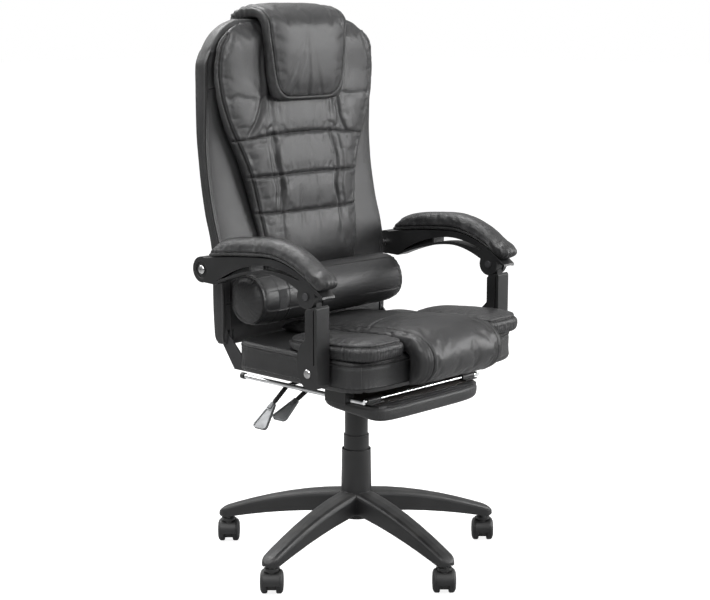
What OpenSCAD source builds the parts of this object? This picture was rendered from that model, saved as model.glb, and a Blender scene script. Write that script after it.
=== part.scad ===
// Reclining office chair with a pull-out footrest, in millimetres.
// X runs across the chair, the front is -Y and Z is up from the floor.
// The origin is the point of the floor under the axis of the gas lift.

/* [Base and casters] */
// Distance from the column axis to each caster stem
caster_ring_r = 300; // [285:1:320]
// Height of the top of the hub
hub_top_z = 150; // [146:1:156]
// Diameter of the hub
hub_d = 68; // [64:1:76]
// Height of a leg at the hub
leg_root_h = 45; // [40:1:50]
// Width of a leg at the hub
leg_root_w = 50; // [44:1:54]
// Width of a leg at its tip
leg_tip_w = 38; // [34:1:44]
// Fall of the leg's top from the hub to the caster stem
leg_fall = 65; // [62:1:67]
// Wall of the hollow legs
leg_wall = 3.5; // [2.5:0.5:5]
// Diameter of a caster wheel
wheel_d = 50; // [48:1:51]
// Width of one caster wheel
wheel_w = 15; // [12:0.5:17]
// Gap between the two wheels of a caster
wheel_gap = 18.4; // [17:0.2:22]
// Diameter of a caster stem
stem_d = 11; // [9:0.5:12]
// Width of the hood over the wheels
hood_w = 33; // [28:1:38]

/* [Gas lift] */
// Outer diameter of the stand tube
stand_tube_d = 45; // [40:0.5:46]
// Diameter of the pressure tube
pressure_tube_d = 28; // [24:0.5:30]
// Diameter of the piston rod
rod_d = 10; // [8:0.5:12]
// Stroke of the gas lift
lift_travel = 75; // [50:1:78]
// Outer diameter of the lower cover
lower_cover_d = 63; // [60.5:0.5:66]
// Outer diameter of the middle cover
middle_cover_d = 54.8; // [54.2:0.2:55.6]
// Outer diameter of the upper cover
upper_cover_d = 50; // [49.6:0.2:50.2]
// Wall of the telescopic covers
cover_wall = 1.6; // [1.4:0.1:1.8]
// Height of the top of the lower cover
lower_cover_top_z = 242; // [236:1:250]

/* [Seat] */
// Height of the underside of the seat
seat_z = 440; // [420:1:460]
// Width of the seat
seat_w = 510; // [504:1:516]
// Distance from the column axis to the front of the seat box
seat_front = 250; // [244:1:258]
// Distance from the column axis to the rear of the seat box
seat_rear = 112; // [106:1:114]
// Height of the seat box
seat_box_h = 63; // [60:1:66]
// Width of the centre cushion
centre_w = 250; // [230:1:260]
// Thickness of the centre cushion at its front
centre_h = 44; // [38:1:50]
// Reach of the front roll before the seat box
roll_reach = 58; // [52:1:62]
// Thickness of a thigh pad at its front
thigh_h = 43; // [38:1:50]
// Length of a thigh pad
thigh_len = 238; // [220:1:250]

/* [Back] */
// Step from the side of the seat to the side of the back
back_in = 8; // [5:0.5:12]
// Height of the back from its lower edge to its shoulders
back_h = 670; // [640:1:700]
// Thickness of the back shell
back_t = 43; // [40:1:48]
// Lean of the back between its foot and its shoulders
back_lean = 47; // [40:1:54]
// Border of the back shell that shows beside the panel at the shoulders
panel_in = 11; // [8:0.5:16]
// Thickness of the front panel at its fullest
panel_t = 37; // [30:1:44]
// Width of the headrest pillow
head_w = 250; // [220:1:260]
// Height of the headrest pillow on the front of the back
head_drop = 172; // [150:1:190]
// Thickness of the headrest pillow
head_t = 40; // [32:1:46]
// Width of the back that the lumbar roll leaves free
lumbar_in = 50; // [40:1:70]
// Diameter of the lumbar roll
lumbar_d = 108; // [96:1:110]

/* [Arms] */
// Gap between the seat and the inner face of an arm
arm_gap = 7; // [5:0.5:14]
// Width of the arm frame
arm_w = 35; // [32:1:40]
// Height of the arm frame's crest above the seat's underside
arm_crest_h = 253; // [248:1:260]
// Width of the arm pad
arm_pad_w = 51; // [46:1:52]
// Thickness of the arm pad
arm_pad_t = 36; // [30:1:42]
// Diameter of the round front boss
boss_d = 48; // [44:1:50]
// Diameter of the pivot bolts
bolt_d = 10; // [8:0.5:11]

/* [Footrest] */
// Width of the footrest pad
foot_w = 326; // [310:1:328]
// Depth of the footrest pad
foot_depth = 175; // [160:1:180]
// Thickness of the footrest pad
foot_t = 40; // [36:1:42]
// Diameter of a slide rail
rail_d = 10; // [8:0.5:11]
// Gap between the footrest pad and the middle of a slide rail
rail_side_gap = 15; // [13:0.5:20]
// Travel of the slide rails
foot_travel = 250; // [200:1:252]
// Diameter of the cross rod
cross_rod_d = 8; // [6:0.5:9]

/* [Levers] */
// Length of a lever paddle
paddle_len = 62; // [54:1:70]
// Width of a lever paddle at its end
paddle_w = 38; // [32:1:42]
// Diameter of a lever rod
lever_d = 8; // [6:0.5:9]

/* [Hidden] */

// General values
cut = 1;
running_gap = 0.05;
soft_gap = 0.3;
round_fn = 48;
small_fn = 32;

// Widths that follow the seat and the footrest
arm_inner_x = seat_w / 2 + arm_gap;
back_w = seat_w - 2 * back_in;
panel_w = back_w - 2 * panel_in;
lumbar_len = back_w - lumbar_in;
rail_gap = foot_w + 2 * rail_side_gap;

function signed_power(v, e) = sign(v) * pow(abs(v), e);
function mid_point(ring) = [for (k = [0:2]) sum([for (p = ring) p[k]]) / len(ring)];
function sum(v, i = 0) = i == len(v) - 1 ? v[i] : v[i] + sum(v, i + 1);

// Solid through a list of rings, closed at both ends by a fan
module ring_loft(rings) {
    n = len(rings[0]);
    m = len(rings);
    points = concat([for (r = rings) each r], [mid_point(rings[0]), mid_point(rings[m - 1])]);
    sides = [for (j = [0:m - 2], i = [0:n - 1])
        let (a = j * n + i, b = j * n + (i + 1) % n) each [[a, a + n, b], [b, a + n, b + n]]];
    foot = [for (i = [0:n - 1]) [m * n, i, (i + 1) % n]];
    head = [for (i = [0:n - 1]) [m * n + 1, (m - 1) * n + (i + 1) % n, (m - 1) * n + i]];
    polyhedron(concat(points), concat(sides, foot, head));
}

// Cushion along X between an inner and an outer line of the YZ plane.
// The outer line draws in towards both ends by the fullness shares.
module ribbon_cushion(inner, outer, half_w, width_shares, full_shares) {
    k = len(inner);
    n = 2 * k;
    m = len(width_shares);
    points = [for (j = [0:m - 1]) each concat(
        [for (i = [0:k - 1]) let (p = inner[i] + full_shares[j] * (outer[i] - inner[i]))
            [half_w * width_shares[j], p[0], p[1]]],
        [for (i = [k - 1:-1:0]) [half_w * width_shares[j], inner[i][0], inner[i][1]]])];
    sides = [for (j = [0:m - 2], i = [0:n - 1])
        let (a = j * n + i, b = j * n + (i + 1) % n) each [[a, a + n, b], [b, a + n, b + n]]];
    foot = [for (i = [0:k - 2]) each [[i, i + 1, n - 1 - i], [i + 1, n - 2 - i, n - 1 - i]]];
    last = (m - 1) * n;
    head = [for (i = [0:k - 2]) each
        [[last + i, last + n - 1 - i, last + i + 1], [last + i + 1, last + n - 1 - i, last + n - 2 - i]]];
    polyhedron(points, concat(sides, foot, head));
}

// Outline in the YZ plane, extruded along X from x0
module side_extrude(x0, w) {
    translate([x0, 0, 0]) rotate([90, 0, 90]) linear_extrude(w) children();
}

// Cylinder along X from x0, at a point [y, z]
module x_cylinder(x0, w, d, at, fn = 48) {
    translate([x0, at[0], at[1]]) rotate([0, 90, 0]) cylinder(h = w, d = d, $fn = fn);
}

// Five-star base
leg_count = 5;
leg_first_angle = -99.72;
leg_curve_share = 1.75;
tip_reach = 20;
tip_top_round = 12;
hub_bottom_z = 94;
hub_ring_h = 10;
leg_underside_fall = 43;
caster_seat_z = 59;
stem_boss_d = 21;
stem_socket_depth = 22;
stem_roof = 2;
rib_t = 2.5;
rib_count = 4;
leg_top_share = 0.58;
leg_bevel_h = 6;
stand_taper_z = 90;

function leg_top(r) = hub_top_z - leg_fall * pow(r / caster_ring_r, leg_curve_share);
function leg_low(r) = hub_top_z - leg_root_h - leg_underside_fall * pow(r / caster_ring_r, leg_curve_share);
tip_shares = [0, 0.25, 0.5, 0.7, 0.85, 0.96, 1];
leg_run_shares = [0.05, 0.14, 0.25, 0.38, 0.52, 0.66, 0.8, 0.93];
// The width is even as far as this run, so that neighbouring legs meet cleanly at the hub
even_run_share = leg_run_shares[2];
function leg_half(r) = (leg_root_w + (leg_tip_w - leg_root_w)
    * max(r / caster_ring_r - even_run_share, 0) / (1 - even_run_share)) / 2;

// Width share of the rounded tip at a distance past the stem
function tip_width(s) = sqrt(max(1 - s * s * 0.93, 0));

// Section of a leg at distance r, w half wide, with a bevelled roof
function leg_ring(r, w, low, top, bevel) = [
    [r, w, low], [r, w, top - 1.6 * bevel], [r, w * 0.95, top - 0.9 * bevel],
    [r, w * 0.84, top - 0.35 * bevel], [r, w * leg_top_share, top], [r, 0, top + bevel / 8],
    [r, -w * leg_top_share, top], [r, -w * 0.84, top - 0.35 * bevel],
    [r, -w * 0.95, top - 0.9 * bevel], [r, -w, top - 1.6 * bevel], [r, -w, low], [r, 0, low]
];

module leg_solid() {
    runs = [for (s = leg_run_shares) caster_ring_r * s];
    ring_loft(concat(
        [for (r = runs) leg_ring(r, leg_half(r), leg_low(r), leg_top(r), leg_bevel_h)],
        [for (s = tip_shares)
            let (r = caster_ring_r + tip_reach * s, w = leg_half(caster_ring_r) * tip_width(s))
            leg_ring(r, w, leg_low(caster_ring_r) + tip_top_round * s * s / 4,
                leg_top(r) - tip_top_round * pow(s, 3) / 2, leg_bevel_h * (1 - s / 4))]));
}

// Hollow of a leg, open below, that stops before the stem boss
module leg_hollow() {
    runs = [for (s = [0.12, 0.3, 0.48, 0.66, 0.9]) caster_ring_r * s];
    ring_loft([for (r = runs)
        let (w = leg_half(r) - leg_wall, top = leg_top(r) - leg_bevel_h - leg_wall, low = leg_low(r) - cut)
        [[r, w, low], [r, w, top - leg_bevel_h / 2], [r, w / 2, top], [r, -w / 2, top],
            [r, -w, top - leg_bevel_h / 2], [r, -w, low]]]);
}

// Pockets between the ribs that brace the hollow
module leg_pockets() {
    run = caster_ring_r - hub_d / 2;
    difference() {
        leg_hollow();
        translate([0, -rib_t / 2, 0]) cube([caster_ring_r, rib_t, hub_top_z]);
        for (i = [1:rib_count])
            translate([hub_d / 2 + run * (i - 0.3) / rib_count - rib_t / 2, -leg_root_w / 2, 0])
                cube([rib_t, leg_root_w, hub_top_z]);
    }
}

module star_base() {
    color("#1d1e20")
    difference() {
        union() {
            for (i = [0:leg_count - 1])
                rotate([0, 0, leg_first_angle + 360 / leg_count * i]) {
                    difference() {
                        leg_solid();
                        leg_pockets();
                    }
                    translate([caster_ring_r, 0, caster_seat_z])
                        cylinder(h = stem_socket_depth, d = stem_boss_d, $fn = small_fn);
                }
            translate([0, 0, hub_bottom_z])
                cylinder(h = hub_top_z - hub_bottom_z, d = hub_d, $fn = round_fn);
            translate([0, 0, hub_bottom_z - hub_ring_h / 2])
                cylinder(h = hub_ring_h, d = hub_d - hub_ring_h, $fn = round_fn);
        }
        translate([0, 0, hub_bottom_z - hub_ring_h]) cylinder(h = hub_top_z, d = stand_tube_d, $fn = round_fn);
        for (i = [0:leg_count - 1])
            rotate([0, 0, leg_first_angle + 360 / leg_count * i])
                translate([caster_ring_r, 0, caster_seat_z - cut])
                    cylinder(h = stem_socket_depth - stem_roof + cut, d = stem_d, $fn = small_fn);
    }
}

// Casters: the stem is pressed into the leg and the hood swivels on it
axle_angle = -46.5;
axle_trail = 10;
axle_d = 6;
hood_wall = 2.2;
hood_collar_h = 6;
hood_collar_d = 29;
hood_top_z = 57.2;
hood_gap = 0.8;
web_gap = 0.45;
web_low_share = 0.42;
washer_d = 17;
tread_share = 0.72;
dome_share = 0.7;
stem_low_z = 30;

module at_caster(i) {
    rotate([0, 0, leg_first_angle + 360 / leg_count * i]) translate([caster_ring_r, 0, 0])
        rotate([0, 0, axle_angle - leg_first_angle - 360 / leg_count * i]) children();
}

module caster_stems() {
    color("#8f9296")
    for (i = [0:leg_count - 1])
        at_caster(i) {
            translate([0, 0, stem_low_z])
                cylinder(h = caster_seat_z + stem_socket_depth - stem_roof - stem_low_z, d = stem_d, $fn = small_fn);
            translate([0, 0, hood_top_z + running_gap])
                cylinder(h = caster_seat_z - hood_top_z - running_gap, d = washer_d, $fn = small_fn);
        }
}

module caster_hood(i) {
    tyre_r = wheel_d / 2 + hood_gap;
    color("#202123")
    at_caster(i) difference() {
        union() {
            // Fender from the front up and over the wheels
            intersection() {
                x_cylinder(-hood_w / 2, hood_w, 2 * (tyre_r + hood_wall), [axle_trail, wheel_d / 2], 64);
                translate([-hood_w / 2, axle_trail - wheel_d, wheel_d / 2 - hood_wall])
                    cube([hood_w, wheel_d + wheel_d / 4, wheel_d]);
            }
            translate([0, 0, hood_top_z - hood_collar_h])
                cylinder(h = hood_collar_h, d = hood_collar_d, $fn = small_fn);
            translate([0, 0, wheel_d / 2])
                cylinder(h = hood_top_z - wheel_d / 2, d = wheel_gap - 2 * web_gap, $fn = small_fn);
            // Web between the wheels
            intersection() {
                x_cylinder(-wheel_gap / 2 + web_gap, wheel_gap - 2 * web_gap, wheel_d - 4 * hood_wall,
                    [axle_trail, wheel_d / 2]);
                translate([-hood_w / 2, axle_trail - wheel_d, wheel_d / 2 * web_low_share])
                    cube([hood_w, 2 * wheel_d, wheel_d]);
            }
        }
        // Room for the wheels on both sides of the web
        for (side = [-1, 1])
            x_cylinder(side > 0 ? wheel_gap / 2 - web_gap : -hood_w, hood_w - wheel_gap / 2 + web_gap,
                2 * tyre_r, [axle_trail, wheel_d / 2], 64);
        x_cylinder(-hood_w, 2 * hood_w, axle_d + 2 * running_gap, [axle_trail, wheel_d / 2]);
        translate([0, 0, stem_low_z - running_gap])
            cylinder(h = wheel_d, d = stem_d + 2 * running_gap, $fn = small_fn);
    }
}

module caster_axle(i) {
    color("#9a9da1")
    at_caster(i) x_cylinder(-wheel_gap / 2 - wheel_w * tread_share, wheel_gap + 2 * wheel_w * tread_share,
        axle_d, [axle_trail, wheel_d / 2], small_fn);
}

module caster_wheels(i) {
    r = wheel_d / 2;
    tread_w = wheel_w * tread_share;
    edge = wheel_w / 8;
    color("#18191a")
    at_caster(i) for (side = [0, 1])
        translate([0, axle_trail, r]) mirror([side, 0, 0])
            translate([wheel_gap / 2, 0, 0]) rotate([0, 90, 0])
                rotate_extrude($fn = 64) polygon([
                    [axle_d / 2, 0], [r - edge, 0], [r, edge], [r, tread_w - edge], [r - edge / 2, tread_w],
                    [r * 0.86, wheel_w * 0.86], [r * dome_share, wheel_w * 0.96], [r * 0.45, wheel_w],
                    [0, wheel_w], [0, tread_w], [axle_d / 2, tread_w]
                ]);
}

// Gas lift
tube_wall = 1.5;
tube_floor_t = 4;
stand_tube_top_z = 258;
bush_h = 46;
bearing_h = 4;
bearing_d = 20;
clip_h = 3;
clip_d = 15;
rod_top_z = 300;
tube_foot_gap = 1;
cover_rim_h = 5;
cover_rim_gap = 0.3;
middle_cover_h = 84;
tray_low_h = -55;
boss_low_h = -80;
taper_top_h = -20;
tray_z = seat_z + tray_low_h;

pressure_foot_z = stand_taper_z + tube_floor_t + bearing_h + clip_h + lift_travel + tube_foot_gap;

module stand_tube() {
    color("#2a2b2d")
    difference() {
        translate([0, 0, stand_taper_z])
            cylinder(h = stand_tube_top_z - stand_taper_z, d = stand_tube_d, $fn = round_fn);
        translate([0, 0, stand_taper_z + tube_floor_t])
            cylinder(h = stand_tube_top_z, d = stand_tube_d - 2 * tube_wall, $fn = round_fn);
        translate([0, 0, stand_taper_z - cut])
            cylinder(h = tube_floor_t + 2 * cut, d = rod_d + 2 * running_gap, $fn = small_fn);
    }
}

module guide_bush() {
    color("#6b6e72")
    translate([0, 0, stand_tube_top_z - bush_h]) difference() {
        cylinder(h = bush_h, d = stand_tube_d - 2 * tube_wall, $fn = round_fn);
        translate([0, 0, -cut])
            cylinder(h = bush_h + 2 * cut, d = pressure_tube_d + 2 * running_gap, $fn = round_fn);
    }
}

module thrust_bearing() {
    color("#8f9296")
    translate([0, 0, stand_taper_z + tube_floor_t]) difference() {
        cylinder(h = bearing_h, d = bearing_d, $fn = small_fn);
        translate([0, 0, -cut]) cylinder(h = bearing_h + 2 * cut, d = rod_d + 2 * running_gap, $fn = small_fn);
    }
}

// The rod turns in the bearing and its clip holds it under the tube's floor
module piston_rod() {
    shoulder_z = stand_taper_z + tube_floor_t + bearing_h + running_gap;
    color("#9a9da1") {
        translate([0, 0, stand_taper_z - clip_h - running_gap])
            cylinder(h = rod_top_z - stand_taper_z + clip_h + running_gap, d = rod_d, $fn = small_fn);
        translate([0, 0, stand_taper_z - clip_h - running_gap])
            cylinder(h = clip_h, d = clip_d, $fn = small_fn);
        translate([0, 0, shoulder_z]) cylinder(h = clip_h, d = clip_d, $fn = small_fn);
    }
}

module pressure_tube() {
    color("#55585c")
    difference() {
        translate([0, 0, pressure_foot_z])
            cylinder(h = seat_z + taper_top_h - pressure_foot_z, d = pressure_tube_d, $fn = round_fn);
        translate([0, 0, pressure_foot_z - cut])
            cylinder(h = rod_top_z + lift_travel - pressure_foot_z + 2 * cut, d = rod_d + 2 * running_gap, $fn = small_fn);
    }
}

// Telescopic cover of outer diameter d, with a rim outside its foot
// or inside its head where another cover slides
module cover_tube(d, low_z, top_z, foot_rim_d, flare) {
    difference() {
        union() {
            translate([0, 0, low_z]) cylinder(h = top_z - low_z, d = d, $fn = round_fn);
            translate([0, 0, low_z]) cylinder(h = cover_rim_h, d = max(foot_rim_d, d), $fn = round_fn);
            translate([0, 0, low_z]) cylinder(h = (top_z - low_z) * 0.9, d1 = d + flare, d2 = d, $fn = round_fn);
        }
        translate([0, 0, low_z - cut])
            cylinder(h = top_z - low_z + 2 * cut, d = d - 2 * cover_wall, $fn = round_fn);
    }
}

module lower_cover() {
    color("#232426") cover_tube(lower_cover_d, hub_top_z, lower_cover_top_z, lower_cover_d, 2 * cover_wall);
}

middle_cover_show = 32;
middle_top_z = lower_cover_top_z + middle_cover_show;
module middle_cover() {
    color("#26272a") cover_tube(middle_cover_d, middle_top_z - middle_cover_h, middle_top_z,
        lower_cover_d - 2 * cover_wall - 2 * cover_rim_gap, 0);
}

upper_cover_h = 132;
module upper_cover() {
    color("#232426") cover_tube(upper_cover_d, tray_z - upper_cover_h, tray_z,
        middle_cover_d - 2 * cover_wall - 2 * cover_rim_gap, 0);
}

// Mechanism under the seat
tray_half_w = 70;
tray_front = 88;
tray_rear = 92;
tray_nose_h = -28;
tray_step_y = -36;
tray_wall = 3;
flange_t = 4;
tray_flange = 16;
taper_boss_d = 40;
lever_pin_d = 6;
lift_lever_y = 60;
lock_lever_y = 15;
lever_pivot_h = -40;
lever_pivot_x = -82;
lever_lug_t = 4;
lever_lug_d = 16;
lever_eye_w = 10;
flange_z = seat_z - flange_t;

module lever_lugs(y) {
    for (side = [-1, 1])
        translate([lever_pivot_x, y + side * (lever_eye_w / 2 + running_gap + lever_lug_t / 2), seat_z + lever_pivot_h]) {
            rotate([90, 0, 0]) cylinder(h = lever_lug_t, d = lever_lug_d, center = true, $fn = small_fn);
            translate([0, -lever_lug_t / 2, -lever_lug_d / 2])
                cube([-lever_pivot_x - tray_half_w, lever_lug_t, lever_lug_d]);
        }
}

module mechanism() {
    profile = [
        [-tray_front, flange_z], [-tray_front, seat_z + tray_nose_h], [tray_step_y, seat_z + tray_nose_h],
        [tray_step_y + tray_wall, tray_z], [tray_rear, tray_z], [tray_rear, flange_z]
    ];
    inner = [
        [-tray_front + tray_wall, flange_z + cut], [-tray_front + tray_wall, seat_z + tray_nose_h + tray_wall],
        [tray_step_y + tray_wall, seat_z + tray_nose_h + tray_wall], [tray_step_y + 2 * tray_wall, tray_z + tray_wall],
        [tray_rear - tray_wall, tray_z + tray_wall], [tray_rear - tray_wall, flange_z + cut]
    ];
    color("#2c2d30")
    difference() {
        union() {
            difference() {
                union() {
                    side_extrude(-tray_half_w, 2 * tray_half_w) polygon(profile);
                    translate([-tray_half_w - tray_flange, -tray_front - tray_flange, flange_z])
                        cube([2 * (tray_half_w + tray_flange), tray_front + tray_rear + 2 * tray_flange, flange_t]);
                }
                side_extrude(-tray_half_w + tray_wall, 2 * (tray_half_w - tray_wall)) polygon(inner);
                translate([-tray_half_w + tray_wall, -tray_front + tray_wall, flange_z])
                    cube([2 * (tray_half_w - tray_wall), tray_front + tray_rear - 2 * tray_wall, flange_t + cut]);
            }
            translate([0, 0, seat_z + boss_low_h])
                cylinder(h = taper_top_h - boss_low_h, d = taper_boss_d, $fn = round_fn);
            lever_lugs(lift_lever_y);
            lever_lugs(lock_lever_y);
        }
        translate([0, 0, seat_z + boss_low_h - cut])
            cylinder(h = taper_top_h - boss_low_h + 2 * cut, d = pressure_tube_d, $fn = round_fn);
        for (y = [lift_lever_y, lock_lever_y])
            translate([lever_pivot_x, y - lever_eye_w, seat_z + lever_pivot_h])
                rotate([-90, 0, 0]) cylinder(h = 2 * lever_eye_w, d = lever_pin_d, $fn = small_fn);
    }
}

// A lever: an eye on its pin, a bent rod with a ribbed sleeve and a paddle
lift_len = 104;
lock_len = 80;
lift_bend_shares = [-0.635, -0.038];
lift_end_shares = [-1, -0.317];
lock_bend_shares = [-0.725, -0.15];
lock_end_shares = [-1, -0.288];
lift_bend = lift_len * lift_bend_shares;
lift_end = lift_len * lift_end_shares;
lock_bend = lock_len * lock_bend_shares;
lock_end = lock_len * lock_end_shares;
lift_droop = 47;
lock_droop = 30;
lever_tail = 14;
paddle_t = 7;
paddle_rim = 3;
paddle_dish = 1.5;
collar_wall = 3;
rib_rings = 8;
rib_depth = 1;
bend_swell_share = 1.1;

module along(a, b) {
    translate([a[0], 0, a[1]]) rotate([0, atan2(b[0] - a[0], b[1] - a[1]), 0]) children();
}

module ribbed_sleeve(h, d) {
    pitch = h / rib_rings;
    rotate_extrude($fn = small_fn) polygon(concat(
        [[0, 0]],
        [for (i = [0:rib_rings - 1]) each [[d / 2 + rib_depth, i * pitch], [d / 2 + rib_depth, (i + 0.6) * pitch],
            [d / 2 + rib_depth / 2, (i + 0.7) * pitch], [d / 2 + rib_depth / 2, (i + 0.9) * pitch]]],
        [[d / 2, h], [0, h]]));
}

function lever_tail_end(end, droop) = end - lever_tail * [cos(droop), sin(droop)];

module lever_rod(y, bend, end, droop) {
    tail = lever_tail_end(end, droop);
    color("#141516")
    translate([lever_pivot_x, y, seat_z + lever_pivot_h]) difference() {
        union() {
            rotate([90, 0, 0]) cylinder(h = lever_eye_w, d = lever_lug_d, center = true, $fn = small_fn);
            along([0, 0], bend) cylinder(h = norm(bend), d = lever_d, $fn = small_fn);
            translate([bend[0], 0, bend[1]]) sphere(d = lever_d * bend_swell_share, $fn = small_fn);
            along(bend, end) ribbed_sleeve(norm(end - bend), lever_d);
            translate([end[0], 0, end[1]]) sphere(d = lever_d * bend_swell_share, $fn = small_fn);
            along(end, tail) cylinder(h = lever_tail, d = lever_d, $fn = small_fn);
        }
        rotate([90, 0, 0])
            cylinder(h = 2 * lever_eye_w, d = lever_pin_d + 2 * running_gap, center = true, $fn = small_fn);
    }
}

// Tapered plate with round corners, along +X
module paddle_shape(inset) {
    corner = paddle_w / 5;
    hull() {
        translate([lever_d, 0]) circle(r = lever_d - inset, $fn = small_fn);
        for (side = [-1, 1])
            translate([paddle_len - corner, side * (paddle_w / 2 - corner)]) circle(r = corner - inset, $fn = small_fn);
    }
}

// The paddle's collar is pressed on the rod's tail
module lever_paddle(y, end, droop) {
    collar_start = lever_d * 0.6;
    color("#c3c6ca")
    translate([lever_pivot_x + end[0], y, seat_z + lever_pivot_h + end[1]])
        rotate([0, -droop, 0]) mirror([1, 0, 0]) difference() {
            union() {
                translate([collar_start, 0, -paddle_t / 2]) linear_extrude(paddle_t) paddle_shape(0);
                translate([collar_start, 0, 0]) rotate([0, 90, 0])
                    cylinder(h = lever_tail, d = lever_d + 2 * collar_wall, $fn = small_fn);
            }
            rotate([0, 90, 0]) cylinder(h = lever_tail, d = lever_d, $fn = small_fn);
            for (side = [0, 1]) mirror([0, 0, side])
                translate([collar_start, 0, paddle_t / 2 - paddle_dish]) linear_extrude(paddle_rim)
                    intersection() {
                        paddle_shape(paddle_rim);
                        translate([lever_tail + paddle_rim, -paddle_w / 2]) square([paddle_len, paddle_w]);
                    }
        }
}

// Arm linkage: pivots in the YZ plane, from the seat's underside
rear_pivot_y = 157;
rear_pivot_h = 210;
front_pivot_y = 147;
front_pivot_h = 190;
low_pivot_y = 150;
low_pivot_h = 38;
rear_pivot = [rear_pivot_y, seat_z + rear_pivot_h];
front_pivot = [-front_pivot_y, seat_z + front_pivot_h];
low_pivot = [-low_pivot_y, seat_z + low_pivot_h];
back_pivot = low_pivot + rear_pivot - front_pivot;
plate_t = 4;
plate_in = 21;
plate_x = seat_w / 2 - plate_in;
strap_gap = 0.5;
strap_x = plate_x - plate_t - strap_gap;
plate_end_d = 28;
plate_low_h = 22;
hinge_pin_d = 12;
pin_head_h = 3;
pin_head_d = 18;

// Side outline of a hinge plate: an eye at each end and a low bar between
module plate_outline() {
    translate(low_pivot) circle(d = plate_end_d, $fn = small_fn);
    translate(back_pivot) circle(d = plate_end_d, $fn = small_fn);
    polygon([
        [low_pivot[0] - plate_end_d / 2, flange_z], [low_pivot[0] + plate_end_d / 2, flange_z],
        [low_pivot[0] + plate_end_d / 2, low_pivot[1]], [low_pivot[0] - plate_end_d / 2, low_pivot[1]]
    ]);
    polygon([
        [low_pivot[0], flange_z], [back_pivot[0] - plate_end_d, flange_z],
        [back_pivot[0] + plate_end_d / 3, back_pivot[1] - plate_end_d * 0.37],
        [back_pivot[0] - plate_end_d / 3, back_pivot[1] + plate_end_d * 0.37],
        [back_pivot[0] - 2 * plate_end_d, seat_z + plate_low_h], [low_pivot[0], seat_z + plate_low_h]
    ]);
}

module hinge_plate() {
    difference() {
        union() {
            side_extrude(plate_x, plate_t) plate_outline();
            translate([rail_gap / 2 - guide_w / 2, low_pivot[0] - plate_end_d / 2, flange_z])
                cube([plate_x + plate_t - rail_gap / 2 + guide_w / 2,
                    back_pivot[0] - low_pivot[0] - plate_end_d / 2, flange_t]);
        }
        x_cylinder(plate_x - cut, plate_t + 2 * cut, bolt_d, low_pivot, small_fn);
        x_cylinder(plate_x - cut, plate_t + 2 * cut, hinge_pin_d, back_pivot, small_fn);
    }
}

module both_sides() {
    children();
    mirror([1, 0, 0]) children();
}

module hinge_plates() {
    color("#2c2d30") both_sides() hinge_plate();
}

// Pins of the back's hinge and of the two levers
module seat_pins() {
    lever_pin_len = lever_eye_w + 2 * lever_lug_t + 2 * running_gap;
    color("#9a9da1") {
        both_sides() {
            x_cylinder(strap_x - pin_head_h, plate_x + plate_t - strap_x + pin_head_h, hinge_pin_d, back_pivot, small_fn);
            x_cylinder(strap_x - pin_head_h, pin_head_h - strap_gap, pin_head_d, back_pivot, small_fn);
        }
        for (y = [lift_lever_y, lock_lever_y])
            translate([lever_pivot_x, y - lever_pin_len / 2, seat_z + lever_pivot_h])
                rotate([-90, 0, 0]) cylinder(h = lever_pin_len, d = lever_pin_d, $fn = small_fn);
    }
}

// Seat board and the guides of the slide rails
board_t = 12;
board_in = 29;
board_half_w = seat_w / 2 - board_in;
board_front_in = 16;
board_rear_in = 10;
board_corner_r = 40;

module seat_board() {
    y0 = -seat_front + board_front_in;
    depth = seat_front + seat_rear - board_front_in - board_rear_in;
    color("#8a6c4a")
    translate([0, 0, seat_z]) linear_extrude(board_t) difference() {
        translate([-board_half_w, y0]) square([2 * board_half_w, depth]);
        for (side = [-1, 1])
            difference() {
                translate([side * board_half_w, y0]) square(2 * board_corner_r, center = true);
                translate([side * (board_half_w - board_corner_r), y0 + board_corner_r])
                    circle(r = board_corner_r, $fn = round_fn);
            }
    }
}

rail_h = -34;
rail_z = seat_z + rail_h;
rail_front_y = -190;
guide_w = 26;
guide_front_y = -150;
guide_len = 57;
guide_low = 4;
// Rail that stays behind the guides when the footrest is out
rail_spare = 49;
rail_len = foot_travel + guide_len + rail_spare;

module rail_guides() {
    color("#1c1d1f") both_sides() difference() {
        translate([rail_gap / 2 - guide_w / 2, guide_front_y, rail_z - rail_d / 2 - guide_low])
            cube([guide_w, guide_len, flange_z - rail_z + rail_d / 2 + guide_low]);
        translate([rail_gap / 2, guide_front_y - cut, rail_z])
            rotate([-90, 0, 0]) cylinder(h = guide_len + 2 * cut, d = rail_d + 2 * running_gap, $fn = small_fn);
    }
}

// Footrest: rails with caps, a cross rod, hinges, a board and its pad
cross_rod_y = -185;
rail_cap_len = 8;
rail_cap_extra = 4;
hinge_in = 35;
hinge_x = foot_w / 2 - hinge_in;
hinge_w = 38;
hinge_half = 14;
hinge_wall = 2.5;
foot_front = 35;
foot_board_t = 8;
foot_board_in = 14;
foot_board_drop = 6;
foot_rise = 16;

module foot_rails() {
    color("#d5d8db") both_sides()
        translate([rail_gap / 2, rail_front_y, rail_z]) rotate([-90, 0, 0])
            cylinder(h = rail_len, d = rail_d, $fn = small_fn);
}

module rail_caps() {
    color("#1c1d1f") both_sides()
        translate([rail_gap / 2, rail_front_y + rail_len - rail_cap_len, rail_z]) rotate([-90, 0, 0]) difference() {
            cylinder(h = rail_cap_len + rail_cap_extra / 2, d = rail_d + rail_cap_extra, $fn = small_fn);
            translate([0, 0, -cut]) cylinder(h = rail_cap_len + cut, d = rail_d, $fn = small_fn);
        }
}

module cross_rod() {
    color("#d5d8db")
    difference() {
        x_cylinder(-rail_gap / 2, rail_gap, cross_rod_d, [cross_rod_y, rail_z], small_fn);
        both_sides() translate([rail_gap / 2, rail_front_y - cut, rail_z]) rotate([-90, 0, 0])
            cylinder(h = rail_len, d = rail_d, $fn = small_fn);
    }
}

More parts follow.
